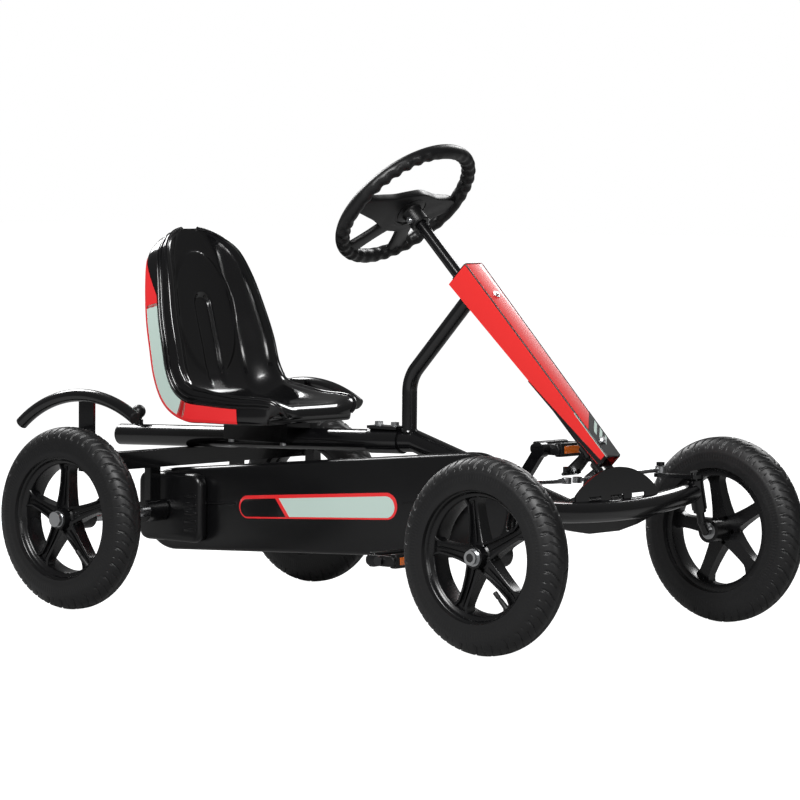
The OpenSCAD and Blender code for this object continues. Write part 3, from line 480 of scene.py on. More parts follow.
@dataclass
class Wheel:
    """One pneumatic wheel: tyre with its tread, five-spoke rim, valve.

    Attributes:
        place: "front" or "rear".
        side: side of the kart.
        body: body that the wheel rides on.
        tyre_r: tyre radius in millimetres.
        half_w: half the tyre's width.
        bead_r: radius of the bead seat.
    """

    place: str
    side: Side
    body: str
    tyre_r: float = 158.5
    half_w: float = 30.0
    bead_r: float = 106.0

    @property
    def tag(self) -> str:
        """Returns the wheel's part of the node names."""
        return f"{self.place}_{self.side.word}"

    @property
    def centre(self) -> Vector:
        """Returns the middle of the tyre."""
        low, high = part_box("tyre_" + self.tag)
        return (Vector(low) + Vector(high)) / 2

    def build(self) -> None:
        """Builds every piece of the wheel."""
        self.tyre()
        self.rim()
        self.valve()

    def carcass(self) -> list[tuple[float, float]]:
        """Returns (radius, height towards the outside) from one bead over the tread to the other."""
        span = self.tyre_r - self.bead_r
        out = []
        for i in range(57):
            a = math.pi * i / 56
            out.append((self.tyre_r + (math.sin(a) ** 0.72 - 1) * span,
                        -self.half_w * math.copysign(abs(math.cos(a)) ** 0.8, math.cos(a))))
        return out

    def tyre(self) -> None:
        """Builds the tyre: slanted grooves cut over the tread and lines moulded in the wall."""
        line = self.carcass()
        n_round, n_across = 960, len(line)
        theta = np.linspace(0, 2 * np.pi, n_round, endpoint=False)
        r = np.array([p[0] for p in line])
        y = np.array([p[1] for p in line])
        share = (np.arange(n_across) / (n_across - 1) - 0.5) * 2
        grid_t, grid_s = np.meshgrid(theta, share, indexing="ij")
        pitch = 2 * np.pi / 30
        s_abs = np.abs(grid_s)
        bias = np.where(grid_s > 0, 0.5, 0.0)
        sweep = 0.62 * np.sin(np.clip(s_abs / 0.62, 0, 1) * np.pi / 2) + bias
        phase = (grid_t / pitch - sweep) % 1.0
        long_cut = self.groove(phase, 0.5, 0.06) * self.window(s_abs, 0.04, 0.60)
        phase_2 = (grid_t / pitch - 0.15 * s_abs * 6 - bias + 0.32) % 1.0
        short_cut = self.groove(phase_2, 0.5, 0.055) * self.window(s_abs, 0.16, 0.43)
        phase_3 = (2 * grid_t / pitch + bias) % 1.0
        shoulder = self.groove(phase_3, 0.5, 0.07) * self.window(s_abs, 0.56, 0.64)
        centre_line = np.exp(-(grid_s / 0.022) ** 2)
        cuts = [long_cut, short_cut, 0.6 * shoulder, 0.7 * centre_line]
        depth = 1.7 * np.clip(np.maximum.reduce(cuts), 0, 1)
        wall = 0.8 * np.exp(-((s_abs - 0.74) / 0.012) ** 2) + 0.7 * np.exp(-((s_abs - 0.93) / 0.014) ** 2)
        wall += 0.35 * np.exp(-((s_abs - 0.83) / 0.05) ** 2) * (0.5 + 0.5 * np.sin(grid_t * 150)) ** 3
        mid = (self.tyre_r + self.bead_r) / 2
        out_r, out_y = r - mid + 8, y
        size = np.hypot(out_r, out_y)
        push = -depth + wall - 0.7
        rr = r + push * out_r / size
        yy = y + push * out_y / size
        c = self.centre
        sign = self.side.value
        inner = [(self.bead_r - 3, 16.0), (self.bead_r - 3, -16.0)]
        rings = []
        for i, t in enumerate(theta):
            ring = [(rr[i, j], yy[i, j]) for j in range(n_across)] + inner
            ct, st = math.cos(t), math.sin(t)
            rings.append([(c.x + q * MM * ct, c.y + sign * h * MM, c.z + q * MM * st) for q, h in ring])
        tyre = Shape().loft(rings, closed=True).make("tyre_skin_" + self.tag, TYRE, self.body, sharp=50)
        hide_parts("tyre_" + self.tag)

    @staticmethod
    def groove(phase: np.ndarray, middle: float, half: float) -> np.ndarray:
        """Returns 1 inside a groove about middle, falling to 0 at its edges."""
        return np.clip((half - np.abs(phase - middle)) / 0.035, 0, 1)

    @staticmethod
    def window(value: np.ndarray, low: float, high: float) -> np.ndarray:
        """Returns 1 between low and high with short ramps outside."""
        return np.clip((value - low) / 0.03 + 1, 0, 1) * np.clip((high - value) / 0.03 + 1, 0, 1)

    def rim(self) -> None:
        """Builds the rim: barrel with rolled lips, hub boss and five ribbed spokes."""
        c, out = self.centre, Vector((0, self.side.value, 0))
        b = self.bead_r
        barrel = Shape().lathe([
            (b - 13, -22), (b - 9, -23), (b + 1, -23), (b + 3.6, -22.4), (b + 4, -20), (b + 2.5, -18.6),
            (b - 1, -18),
            (b - 4, -8), (b - 4, 8), (b - 1, 18), (b + 2.5, 18.6), (b + 4, 20.4),
            (b + 3.8, 22.4), (b + 1.6, 23.4),
            (b - 1.5, 23.4), (b - 3.2, 22), (b - 4.4, 18.5), (b - 6.5, 15.5), (b - 9.5, 14.5), (b - 11.5, 13),
            (b - 12.5, 9), (b - 13.5, 2), (b - 14, -6), (b - 14, -18)], c, out, 160)
        barrel.lathe([(20, -46), (20, -20), (19.5, 14), (18, 27), (17.2, 30.2), (16, 31), (14.2, 31),
                      (14.2, 23), (11, 22),
                      (11, -38), (14.2, -38.5), (14.2, -46)], c, out, 96)
        barrel.lathe([(19, 6), (26, 6.5), (27.5, 9), (27, 12), (22, 15), (19, 17)], c, out, 96)
        rim = barrel.make("rim_barrel_" + self.tag, RIM, self.body)
        spokes = dress(repeated(seed_of(self.spoke(), "spoke_" + self.tag), 5, (0, 1, 0), tuple(c), RIM,
                                "rim_spokes_" + self.tag), RIM, self.body)
        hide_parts("rim_" + self.tag)
        LOG.info("spokes %s", spokes.name)

    def spoke(self) -> Shape:
        """Returns one spoke: a tapered web with a raised rib along each edge and one along its middle."""
        c, out = self.centre, self.side.value
        start = math.pi / 2 if self.place == "rear" else math.pi / 2 + 0.2
        along = Vector((math.cos(start), 0, math.sin(start)))
        across = Vector((-math.sin(start), 0, math.cos(start)))

        def put(a: float, t: float, h: float) -> Vector:
            """Returns the point a out along the spoke, t across it and h outboard."""
            return c + along * a * MM + across * t * MM + Vector((0, out * h * MM, 0))

        shape = Shape()
        stations = [(15, 17, 20), (24, 14.5, 19), (40, 12.2, 16.5), (62, 10.6, 14), (82, 10.4, 12.8),
                    (90, 13.5, 12.8),
                    (95, 17, 13.0)]
        web = []
        for a, w, h in stations:
            web.append([put(a, -w, -7), put(a, -w, h), put(a, -w + 1.2, h + 1.0), put(a, -w + 4.2, h + 1.0),
                        put(a, -w + 5.2, h - 4.5), put(a, w - 5.2, h - 4.5), put(a, w - 4.2, h + 1.0),
                        put(a, w - 1.2, h + 1.0), put(a, w, h), put(a, w, -7)])
        shape.loft(web)
        shape.tube([put(24, 0, 15.5), put(90, 0, 8.6)], 1.5 * MM, 8)
        return shape

    def valve(self) -> None:
        """Builds the valve's rubber stem and cap, standing in from the rim between two spokes."""
        c, out = self.centre, self.side.value
        angle = math.radians(-58)
        inward = Vector((-math.cos(angle), 0, -math.sin(angle)))
        foot = c + Vector((math.cos(angle), 0, math.sin(angle))) * 93 * MM + Vector((0, out * 6 * MM, 0))
        lean = (inward + Vector((0, out * 0.35, 0))).normalized()
        Shape().lathe([(0.1, -3), (6.4, -3), (6.2, 1), (4.4, 4), (3.9, 17), (3.3, 19), (3.3, 21), (4.0, 21.5),
                       (4.0, 31), (3.2, 32.6), (0.1, 33)], foot, lean, 24, whole=False).make(
            "valve_" + self.tag, VALVE, self.body)


# ---------------------------------------------------------------- seat


class Trim(Enum):
    """Films down the seat's side: number, start and end along the edge, inner and outer share, finish."""

    TOP = (1, 0, 84, 0.0, 1.0, FILM_RED)
    MIDDLE = (2, 84, 262, 0.0, 1.0, FILM_GREEN)
    FRONT = (3, 262, 345, 0.0, 1.0, FILM_RED)
    EDGE = (4, 78, 262, 0.9, 1.0, FILM_RED)


@dataclass
class Seat:
    """The bucket seat: one closed glossy shell with a beaded rim and films on its sides.

    Attributes:
        base: height of the shell's underside above the ground in millimetres.
        top: height of the top.
        width: width over the sides.
        across_n: points across the dish.
    """

    base: float = 319.9
    top: float = 656.0
    width: float = 266.0
    across_n: int = 96

    def stations(self) -> np.ndarray:
        """Returns X, Z, half width, bolster height and body depth at the drawing's stations."""
        h = self.top - self.base
        line = [(292, 16), (290, 27), (278, 34.5), (256, 35), (200, 31), (140, 30), (100, 32), (68, 48),
                (47, 82),
                (34, 130), (20, 180), (5, h - 96), (-6, h - 48), (-12, h - 22), (-16, h - 7), (-18, h - 1)]
        half = [84, 98, 108, 114, 123, 129, 132, 133, 133, 131, 125, 112, 97, 73, 45, 20]
        rise = [1, 4, 8, 12, 18, 27, 33, 38, 38, 38, 36, 32, 22, 10, 3, 0.5]
        deep = [10, 22, 30, 34, 31, 30, 31, 30, 27, 26, 26, 26, 24, 18, 10, 4]
        return np.array([(x, z + self.base, w, r, d) for (x, z), w, r, d in zip(line, half, rise, deep)])

    def smooth_stations(self, steps: int = 12) -> np.ndarray:
        """Returns the stations with smooth ones between them."""
        rows = self.stations()
        out = []
        n = len(rows)
        for i in range(n - 1):
            p0, p1, p2, p3 = rows[max(i - 1, 0)], rows[i], rows[i + 1], rows[min(i + 2, n - 1)]
            for k in range(steps):
                t = k / steps
                out.append(0.5 * (2 * p1 + (p2 - p0) * t + (2 * p0 - 5 * p1 + 4 * p2 - p3) * t * t
                                  + (3 * p1 - p0 - 3 * p2 + p3) * t ** 3))
        out.append(rows[-1])
        return np.array(out)

    @staticmethod
    def dish(u: float) -> float:
        """Returns the share of the bolster's height at share u of the half width."""
        a = abs(u)
        if a < 0.5:
            return 0.04 * (a / 0.5) ** 2
        t = min((a - 0.5) / 0.40, 1.0)
        up = 0.04 + 0.96 * (t * t * (3 - 2 * t))
        if a > 0.955:
            up -= 0.35 * ((a - 0.955) / 0.045) ** 2
        return up

    @staticmethod
    def relief(y: float, z: float) -> float:
        """Returns how deep the back's panel and middle channel lie, negative where they stand proud."""
        if z < 360:
            return 0.0
        oval = (y / 74) ** 2 + ((z - 505) / 112) ** 2
        raised = min(max((1.0 - oval) / 0.09, 0.0), 1.0)
        arch = math.hypot(y, max(z - 520, 0.0)) / 23
        cut = min(max((1.0 - arch) / 0.35, 0.0), 1.0) * min(max((z - 372) / 40, 0.0), 1.0)
        return -2.6 * raised * raised * (3 - 2 * raised) + 6.5 * cut * cut * (3 - 2 * cut)

    def ring(self, rows: np.ndarray, i: int) -> list[Vector]:
        """Returns one closed ring round the shell at station i."""
        a, b = rows[max(i - 1, 0)], rows[min(i + 1, len(rows) - 1)]
        t = np.array([b[0] - a[0], b[1] - a[1]])
        t = t / np.linalg.norm(t)
        x, z, half, rise, deep = rows[i]
        half *= self.width / 266
        out = []

        def put(y: float, up: float) -> None:
            """Adds the point at y with height up off the middle line."""
            out.append(at(x + t[1] * up, y, z - t[0] * up))

        for k in range(self.across_n + 1):
            u = (k / self.across_n - 0.5) * 2
            u = math.copysign(abs(u) ** 0.8, u)
            put(u * half, rise * self.dish(u) - self.relief(u * half, z if x < 70 else 0.0))
        wall = ((1.0, 0.02), (1.0, 0.25), (1.0, 0.5), (1.0, 0.78), (0.99, 0.93), (0.96, 0.99), (0.6, 1.0))
        for u, d in wall:
            put(u * half, rise * (0.6 * (1 - d) if d < 0.3 else 0) - deep * d)
        for u, d in wall[::-1]:
            put(-u * half, rise * (0.6 * (1 - d) if d < 0.3 else 0) - deep * d)
        return out

    def build(self) -> None:
        """Builds the shell, its bead, the raised back panel and the side films."""
        rows = self.smooth_stations()
        shell = Shape().loft([self.ring(rows, i) for i in range(len(rows))]).make(
            "seat_skin", SEAT_GLOSS, "seat", sharp=60)
        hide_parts("seat_shell")
        n = self.across_n
        for side in Side:
            rings = [self.ring(rows, i) for i in range(4, len(rows) - 1)]
            edge = [r[n - 2 if side is Side.LEFT else 2] for r in rings]
            Shape().tube(edge, 3.6 * MM, 12).make("seat_bead_" + side.word, SEAT_GLOSS, "seat")
            for k, share in enumerate((0.12, 0.27)):
                line = [self.flank(r, side, share) for r in rings[22:-14]]
                Shape().tube(line, 2.6 * MM, 10).make(f"seat_rib_{k}_{side.word}", SEAT_GLOSS, "seat")
        self.films(rows)

    def flank(self, ring: list[Vector], side: Side, share: float) -> Vector:
        """Returns the point of a ring's flat side at a share of its depth, from the rim to the back edge."""
        n = self.across_n
        left_line = [ring[n + k] for k in range(6)]
        right_line = [ring[0]] + [ring[n + 15 - k] for k in range(1, 6)]
        line = left_line if side is Side.LEFT else right_line
        spans = [(b - a).length for a, b in zip(line, line[1:])]
        left = share * sum(spans)
        for a, b, span in zip(line, line[1:], spans):
            if left <= span:
                return a.lerp(b, left / span)
            left -= span
        return line[-1]

    def films(self, rows: np.ndarray) -> None:
        """Lays the films on the shell's flat sides: red at both ends, pale between, a red edge line."""
        last = len(rows) - 1
        for side in Side:
            for trim in Trim:
                _, start, end, low, high, finish = trim.value
                grid = []
                for i in range(last):
                    x, z = rows[i][0], rows[i][1]
                    run = (605 - z) if z > 380 else 225 + 0.75 * (x - 45)
                    if not start - 6 <= run <= end + 6 or i > last - 34:
                        continue
                    ring = self.ring(rows, i)
                    inner = max(0.98 - run / 110, 0.36) if low < 0.5 else low
                    grid.append([self.flank(ring, side, inner + (high - inner) * k / 6)
                                 + Vector((0, side.value * (0.9 + (0.3 if low > 0.5 else 0)) * MM, 0))
                                 for k in range(7)])
                quads = [(7 * i + k, 7 * i + k + 1, 7 * i + k + 8, 7 * i + k + 7)
                         for i in range(len(grid) - 1) for k in range(6)]
                if side is Side.LEFT:
                    quads = [q[::-1] for q in quads]
                if quads:
                    name = f"seat_film_{trim.name.lower()}_{side.word}"
                    self.film(name, [v for g in grid for v in g], quads, finish)

    @staticmethod
    def film(name: str, verts: list[Vector], quads: list[tuple[int, ...]], finish: Finish) -> None:
        """Makes a thin film of the given quads."""
        mesh = bpy.data.meshes.new(name)
        mesh.from_pydata([tuple(v) for v in verts], [], quads)
        obj = bpy.data.objects.new(name, mesh)
        bpy.context.scene.collection.objects.link(obj)
        skin = obj.modifiers.new("thick", "SOLIDIFY")
        skin.thickness = 0.5 * MM
        skin.offset = 0.0
        dress(obj, finish, "seat", smooth=False)


# ---------------------------------------------------------------- steering


@dataclass
class Steering:
    """Steering wheel, shaft socket, column cover and its films.

    Attributes:
        origin: drawing point where s is 0 on the shaft's line, in millimetres.
        wheel_s: where the wheel's plane crosses the shaft.
        wheel_r: radius of the rim's middle line.
        rim_r: half the rim's thickness.
    """

    origin: Point = (595.5, 0.0, 595.5)
    wheel_s: float = -155.0
    wheel_r: float = 126.5
    rim_r: float = 12.6

    @staticmethod
    def down() -> Vector:
        """Returns the direction down the shaft."""
        return Vector((1, 0, -1)).normalized()

    @staticmethod
    def up() -> Vector:
        """Returns the direction out of the shaft towards the front and top."""
        return Vector((1, 0, 1)).normalized()

    def on(self, s: float, y: float, u: float) -> Vector:
        """Returns the point s down the shaft, y to the left and u off it, in millimetres."""
        return at(*self.origin) + self.down() * s * MM + self.up() * u * MM + Vector((0, y * MM, 0))

    def build(self) -> None:
        """Builds the wheel, the cover and the films."""
        self.rim()
        self.spokes()
        self.cover()
        self.chevrons()

    def rim_point(self, angle: float, r: float, lift: float = 0.0) -> Vector:
        """Returns the point of the wheel's plane at an angle from its top, r out, lift towards the driver."""
        return self.on(self.wheel_s - lift, r * math.sin(angle), r * math.cos(angle))

    def rim(self) -> None:
        """Builds the rim with finger grips round its lower and upper quarters."""
        n, sides = 288, 28
        rings = []
        for i in range(n):
            a = 2 * math.pi * i / n
            grip = max(math.exp(-((abs(math.atan2(math.sin(a - g), math.cos(a - g))) / 0.62) ** 4))
                       for g in (math.radians(50), math.radians(-50), math.radians(140), math.radians(-140)))
            scallop = 3.4 * grip * (0.5 - 0.5 * math.cos(a * 36))
            ring = []
            for j in range(sides):
                b = 2 * math.pi * j / sides
                away = min(max(0.0, -math.sin(b)) * 0.9 + max(0.0, -math.cos(b)) * 0.6, 1.0)
                r = self.rim_r - scallop * away
                ring.append(self.rim_point(a, self.wheel_r + r * math.cos(b), r * math.sin(b)))
            rings.append(ring)
        rim = Shape().loft(rings, closed=True).make("wheel_rim", MOULDED, "steering")
        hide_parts("steering_wheel")

    def spokes(self) -> None:
        """Builds the broad upper spokes, the two lower ones, the hub and its socket."""
        outline = [(-118, -12), (-98, -20), (-72, -28), (-50, -38), (-36, -46), (-16, -50), (16, -50),
                   (36, -46), (50, -38), (72, -28), (98, -20), (118, -12), (120, 8), (104, 17), (78, 22),
                   (52, 26), (32, 32),
                   (14, 37), (0, 39), (-14, 37), (-32, 32), (-52, 26), (-78, 22), (-104, 17), (-120, 8)]

        def put(y: float, u: float, h: float) -> Vector:
            """Returns a point of the pad, dished towards the middle."""
            dish = 10 * (1 - min(abs(y) / 118, 1) ** 1.6)
            return self.on(self.wheel_s + h + dish, y, u)

        pad = Shape().prism(refine(outline, 6), put, -8, 7, 2.6)
        for turn in (-1, 1):
            root, tip = (turn * 20, -30), (turn * 60, -108)
            out = []
            for k in range(7):
                t = k / 6
                y, u = root[0] + (tip[0] - root[0]) * t, root[1] + (tip[1] - root[1]) * t
                w = 19 - 3.5 * math.sin(math.pi * t)
                along = Vector((tip[0] - root[0], tip[1] - root[1])).normalized()
                cross = Vector((-along.y, along.x))
                dish = 10 * (1 - t)
                ring = []
                for j in range(16):
                    b = 2 * math.pi * j / 16
                    q, h = w * math.copysign(abs(math.cos(b)) ** 0.6, math.cos(b)), 5.5 * math.copysign(
                        abs(math.sin(b)) ** 0.6, math.sin(b))
                    ring.append(self.on(self.wheel_s + dish + h, y + cross.x * q, u + cross.y * q))
                out.append(ring)
            pad.loft(out)
        pad.make("wheel_pad", MOULDED, "steering", sharp=35)
        axis, centre = self.down(), self.on(self.wheel_s, 0, 0)
        Shape().lathe([(0.1, -4), (27, -4), (31, -1), (34, 8), (35, 14), (31, 16), (31, 13), (27, 12),
                       (27, 17), (19, 19), (17.2, 22), (17.2, 46), (15.5, 48), (11, 48), (10.2, 47),
                       (10.2, 20), (0.1, 20)],
                      centre, axis, 64, whole=False).make("wheel_hub", MOULDED, "steering")

    def face(self, s: float) -> float:
        """Returns the height of the cover's face above the shaft at s."""
        return 37 + (31 - 37) * (s - 20) / 428

    def half(self, s: float) -> float:
        """Returns half the cover's width at s."""
        return 23 - 5 * (s - 20) / 428

    def depth(self, s: float) -> float:
        """Returns the depth of the cover's sides at s."""
        return 50 - 26 * (s - 20) / 428

    def channel(self, s0: float, s1: float, grow: float, n: int = 2) -> Shape:
        """Returns a stretch of the cover's channel between s0 and s1, moved outwards by grow."""
        rings = []
        for i in range(n + 1):
            s = s0 + (s1 - s0) * i / n
            h, top, low = self.half(s) + grow, self.face(s) + grow, self.face(s) - self.depth(s)
            r, t = 3.4, 2.2 + grow
            outer = [(-h, low)] + [(-h + r - r * math.cos(a), top - r + r * math.sin(a))
                                   for a in (math.pi / 8 * k for k in range(5))]
            outer += [(-y, u) for y, u in reversed(outer)]
            inner = [(y - math.copysign(t, y), u - (t if u > low + 1 else 0)) for y, u in reversed(outer)]
            rings.append([self.on(s, y, u) for y, u in outer + inner])
        return Shape().loft(rings)

    def cover(self) -> None:
        """Builds the red channel, the black lines along its edges and the lip round its upper end."""
        shell = self.channel(20, 448, 0, 4).make("column_cover_skin", RED_COVER, "frame", sharp=25)
        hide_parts("column_cover")
        for side in Side:
            pin = [self.on(s, side.value * (self.half(s) - 0.9), self.face(s) - 0.9)
                   for s in (21, 120, 240, 360, 447)]
            Shape().tube(pin, 1.3 * MM, 10).make("cover_line_" + side.word, BLACK_FILM_AND_PAINTED_SHADE, "frame")
        edge = ((-23.2, 0), (-23.2, 34), (-20, 37.2), (20, 37.2), (23.2, 34), (23.2, 0))
        rim = [self.on(19.6, y, u) for y, u in edge]
        Shape().tube(rim, 0.9 * MM, 8).make("cover_lip", BLACK_FILM_AND_PAINTED_SHADE, "frame")

    def patch(self, name: str, corners: Sequence[tuple[float, float]], finish: Finish,
              side: Side | None = None, lift: float = 0.35) -> None:
        """Lays a flat film on the cover's face, or on one of its sides.

        Args:
            name: object name.
            corners: (s, y) on the face, or (s, height above the shaft) on a side.
            finish: the film's finish.
            side: the side of the channel, or None for its face.
            lift: how far the film stands off, in millimetres.
        """
        fro, to = [], []
        for s, v in corners:
            if side is None:
                fro.append(self.on(s, v, self.face(s) + lift))
                to.append(self.on(s, v, self.face(s) - 0.3))
            else:
                fro.append(self.on(s, side.value * (self.half(s) + lift), v))
                to.append(self.on(s, side.value * (self.half(s) - 0.3), v))
        Shape().loft([fro, to]).make(name, finish, "frame", smooth=False)

    def chevrons(self) -> None:
        """Lays the black foot with its pale chevrons, and black sheets of painted shade along the lower edge
        of each side.
        """
        self.patch("foot_black", [(352, 19.4), (372, 0), (392, -18.6), (446, -17.9), (446, 17.9)], BLACK_FILM_AND_PAINTED_SHADE)
        self.patch("foot_chevron_1", [(372, 15), (380, 15), (402, -6), (394, -6)], FILM_GREEN, lift=0.6)
        self.patch("foot_chevron_2", [(388, 15), (396, 15), (414, -2), (406, -2)], FILM_GREEN, lift=0.6)
        self.patch("foot_chevron_3", [(404, 15), (409, 15), (424, 1), (419, 1)], FILM_GREEN, lift=0.6)
        for side in Side:
            # Black sheet of painted shade along the side's lower edge, widening towards the lower end.
            self.patch("side_foot_" + side.word, [(250, -3.8), (446, 8), (446, 17), (400, 12), (250, -2.4)],
                       BLACK_FILM_AND_PAINTED_SHADE, side)
            pin = [(352, 31.0), (446, 29.6), (446, 28.4), (352, 29.8)]
            self.patch("side_pin_" + side.word, pin, FILM_GREEN, side, 0.6)
        self.channel(443, 448.2, 0.3, 1).make("cover_end", BLACK_FILM_AND_PAINTED_SHADE, "frame", sharp=25)


def refine(outline: Sequence[tuple[float, float]], n: int) -> list[tuple[float, float]]:
    """Returns a closed outline with its spans cut into n smooth parts."""
    pts = [Vector(p) for p in outline]
    out = []
    m = len(pts)
    for i in range(m):
        p0, p1, p2, p3 = pts[i - 1], pts[i], pts[(i + 1) % m], pts[(i + 2) % m]
        for k in range(n):
            t = k / n
            q = 0.5 * ((2 * p1) + (p2 - p0) * t + (2 * p0 - 5 * p1 + 4 * p2 - p3) * t * t
                       + (3 * p1 - p0 - 3 * p2 + p3) * t ** 3)
            out.append((q.x, q.y))
    return out


# ---------------------------------------------------------------- chain case


@dataclass
class ChainCase:
    """The two moulded trays, the striped film and the ribbed rear cap.

    Attributes:
        out: distance of the outer face from the middle plane, in millimetres.
        into: distance of the inner face.
        rear: centre of the rear end.
        front: centre of the front end.
        rear_r: radius of the rear end.
        front_r: radius of the front end.
    """

    out: float = 60.0
    into: float = 21.5
    rear: tuple[float, float] = (0.0, 158.5)
    front: tuple[float, float] = (675.0, 206.0)
    rear_r: float = 72.0
    front_r: float = 88.0

    @staticmethod
    def put(x: float, z: float, y: float) -> Vector:
        """Returns the point at x, z and y millimetres to the right."""
        return at(x, -y, z)

    def build(self) -> None:
        """Builds the trays, the film and the cap."""
        outline = hull_of_circles(self.rear, self.rear_r, self.front, self.front_r, 48)
        skin = Shape().prism(outline, self.put, 41.2, self.out, 7).make(
            "case_outer_skin", CASE, "frame", sharp=30)
        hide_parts("chain_case_outer")
        inner = Shape().prism(outline, self.put, self.into, 40.4, 7).make(
            "case_inner_skin", CASE, "frame", sharp=30)
        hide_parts("chain_case_inner")
        seam = [self.put(x, z, 40.8) for x, z in shrink(outline, 0.6)]
        Shape().tube(seam, 1.6 * MM, 8, closed=True).make("case_seam", CASE, "frame")
        self.ridge()
        self.film()
        self.cap()

    def ridge(self) -> None:
        """Builds the moulded line that runs along the outer face."""
        for name, x0, x1 in (("rear", 78, 152), ("front", 534, 700)):
            line = [self.put(x0 + (x1 - x0) * k / 6, self.mid(x0 + (x1 - x0) * k / 6) + 6, self.out)
                    for k in range(7)]
            Shape().tube(line, 1.5 * MM, 8).make("case_ridge_" + name, CASE, "frame")

    @staticmethod
    def mid(x: float) -> float:
        """Returns the height of the film's middle line at x."""
        return 172 + (x - 162) * 24 / 361

    def lozenge(self, x0: float, x1: float, h0: float, h1: float, inset: float) -> list[tuple[float, float]]:
        """Returns the film's outline: a round-ended band that widens forwards, moved inwards by inset."""
        r0, r1 = h0 / 2, h1 / 2
        outline = hull_of_circles((x0 + r0, self.mid(x0 + r0)), r0, (x1 - r1, self.mid(x1 - r1)), r1, 20)
        return shrink(outline, inset)

    def film(self) -> None:
        """Lays the film: red border, pale field, black start with a slanted edge."""
        self.layer("case_film_red", self.lozenge(162, 523, 40, 46, 0), FILM_RED, 0.5)
        field = [(x - 1.2, z - 1.6) for x, z in self.lozenge(162, 523, 40, 46, 4.6)]
        self.layer("case_film_green", field, FILM_GREEN, 0.8)
        black = clipped(field, (258, self.mid(258)), (-1.0, -0.8))
        self.layer("case_film_black", black, BLACK_FILM_AND_PAINTED_SHADE, 1.1)
        slash = clipped(clipped(field, (266, self.mid(266)), (-1.0, -0.8)), (258, self.mid(258)), (1.0, 0.8))
        self.layer("case_film_slash", slash, FILM_RED, 1.2)

    def layer(self, name: str, outline: list[tuple[float, float]], finish: Finish, lift: float) -> None:
        """Lays one layer of film lift millimetres off the outer face."""
        clean = [p for i, p in enumerate(outline) if math.dist(p, outline[i - 1]) > 0.05]
        Shape().prism(clean, self.put, self.out - 0.3, self.out + lift).make(
            name, finish, "frame", smooth=False)

    def cap(self) -> None:
        """Builds the rear cap: a box with soft corners and ribs."""
        low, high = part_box("chain_case_cap")
        x0, x1 = (low[0] - REAR_X) / MM, (high[0] - REAR_X) / MM
        z0, z1 = low[2] / MM, high[2] / MM
        outline = rounded(x0, x1, z0, z1, 20)
        body = Shape().prism(outline, self.put, self.out - 1, self.out + 24, 9)
        cap = body.make("case_cap_skin", CASE, "frame", sharp=30)
        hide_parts("chain_case_cap")
        ribs = Shape()
        for k in range(5):
            z = z0 + 20 + k * 15
            ribs.prism(rounded(x1 - 36, x1 - 8, z, z + 6, 2.5), self.put, self.out + 23, self.out + 25.4, 1.0)
        ribs.make("case_cap_ribs", CASE, "frame")


def rounded(x0: float, x1: float, z0: float, z1: float, r: float) -> list[tuple[float, float]]:
    """Returns a rectangle's outline with round corners, anticlockwise."""
    return (arc(x1 - r, z0 + r, r, -90, 0, 8) + arc(x1 - r, z1 - r, r, 0, 90, 8)
            + arc(x0 + r, z1 - r, r, 90, 180, 8) + arc(x0 + r, z0 + r, r, 180, 270, 8))


# ---------------------------------------------------------------- frame and small parts


@dataclass
class FrameWork:
    """Tubes that are bent rather than mitred, and small fittings.

    Attributes:
        post_x: the post's place ahead of the rear axle, in millimetres.
        corner_z: height of the post's bend.
        post_r: the post's radius.
    """

    post_x: float = 498.0
    corner_z: float = 410.0
    post_r: float = 13.0

    def build(self) -> None:
        """Builds the post and the weld at its foot."""
        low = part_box("column_post")[0]
        foot = Vector((at(self.post_x, 0, 0).x, 0, low[2] - 2 * MM))
        top = Steering().on(56, 0, -14)
        path = bent(foot, at(self.post_x, 0, self.corner_z), top, 0.06)
        post = Shape().tube(path, self.post_r * MM, 32).make(
            "post_skin", POWDER, "frame")
        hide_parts("column_post")
        collar = at(self.post_x, 0, 0)
        Shape().lathe([(13, 0), (15.5, 1), (14.5, 4), (13, 6)], Vector((collar.x, 0, low[2] + 1.5 * MM)),
                      Vector((0, 0, 1)), 32).make("post_weld", POWDER, "frame")


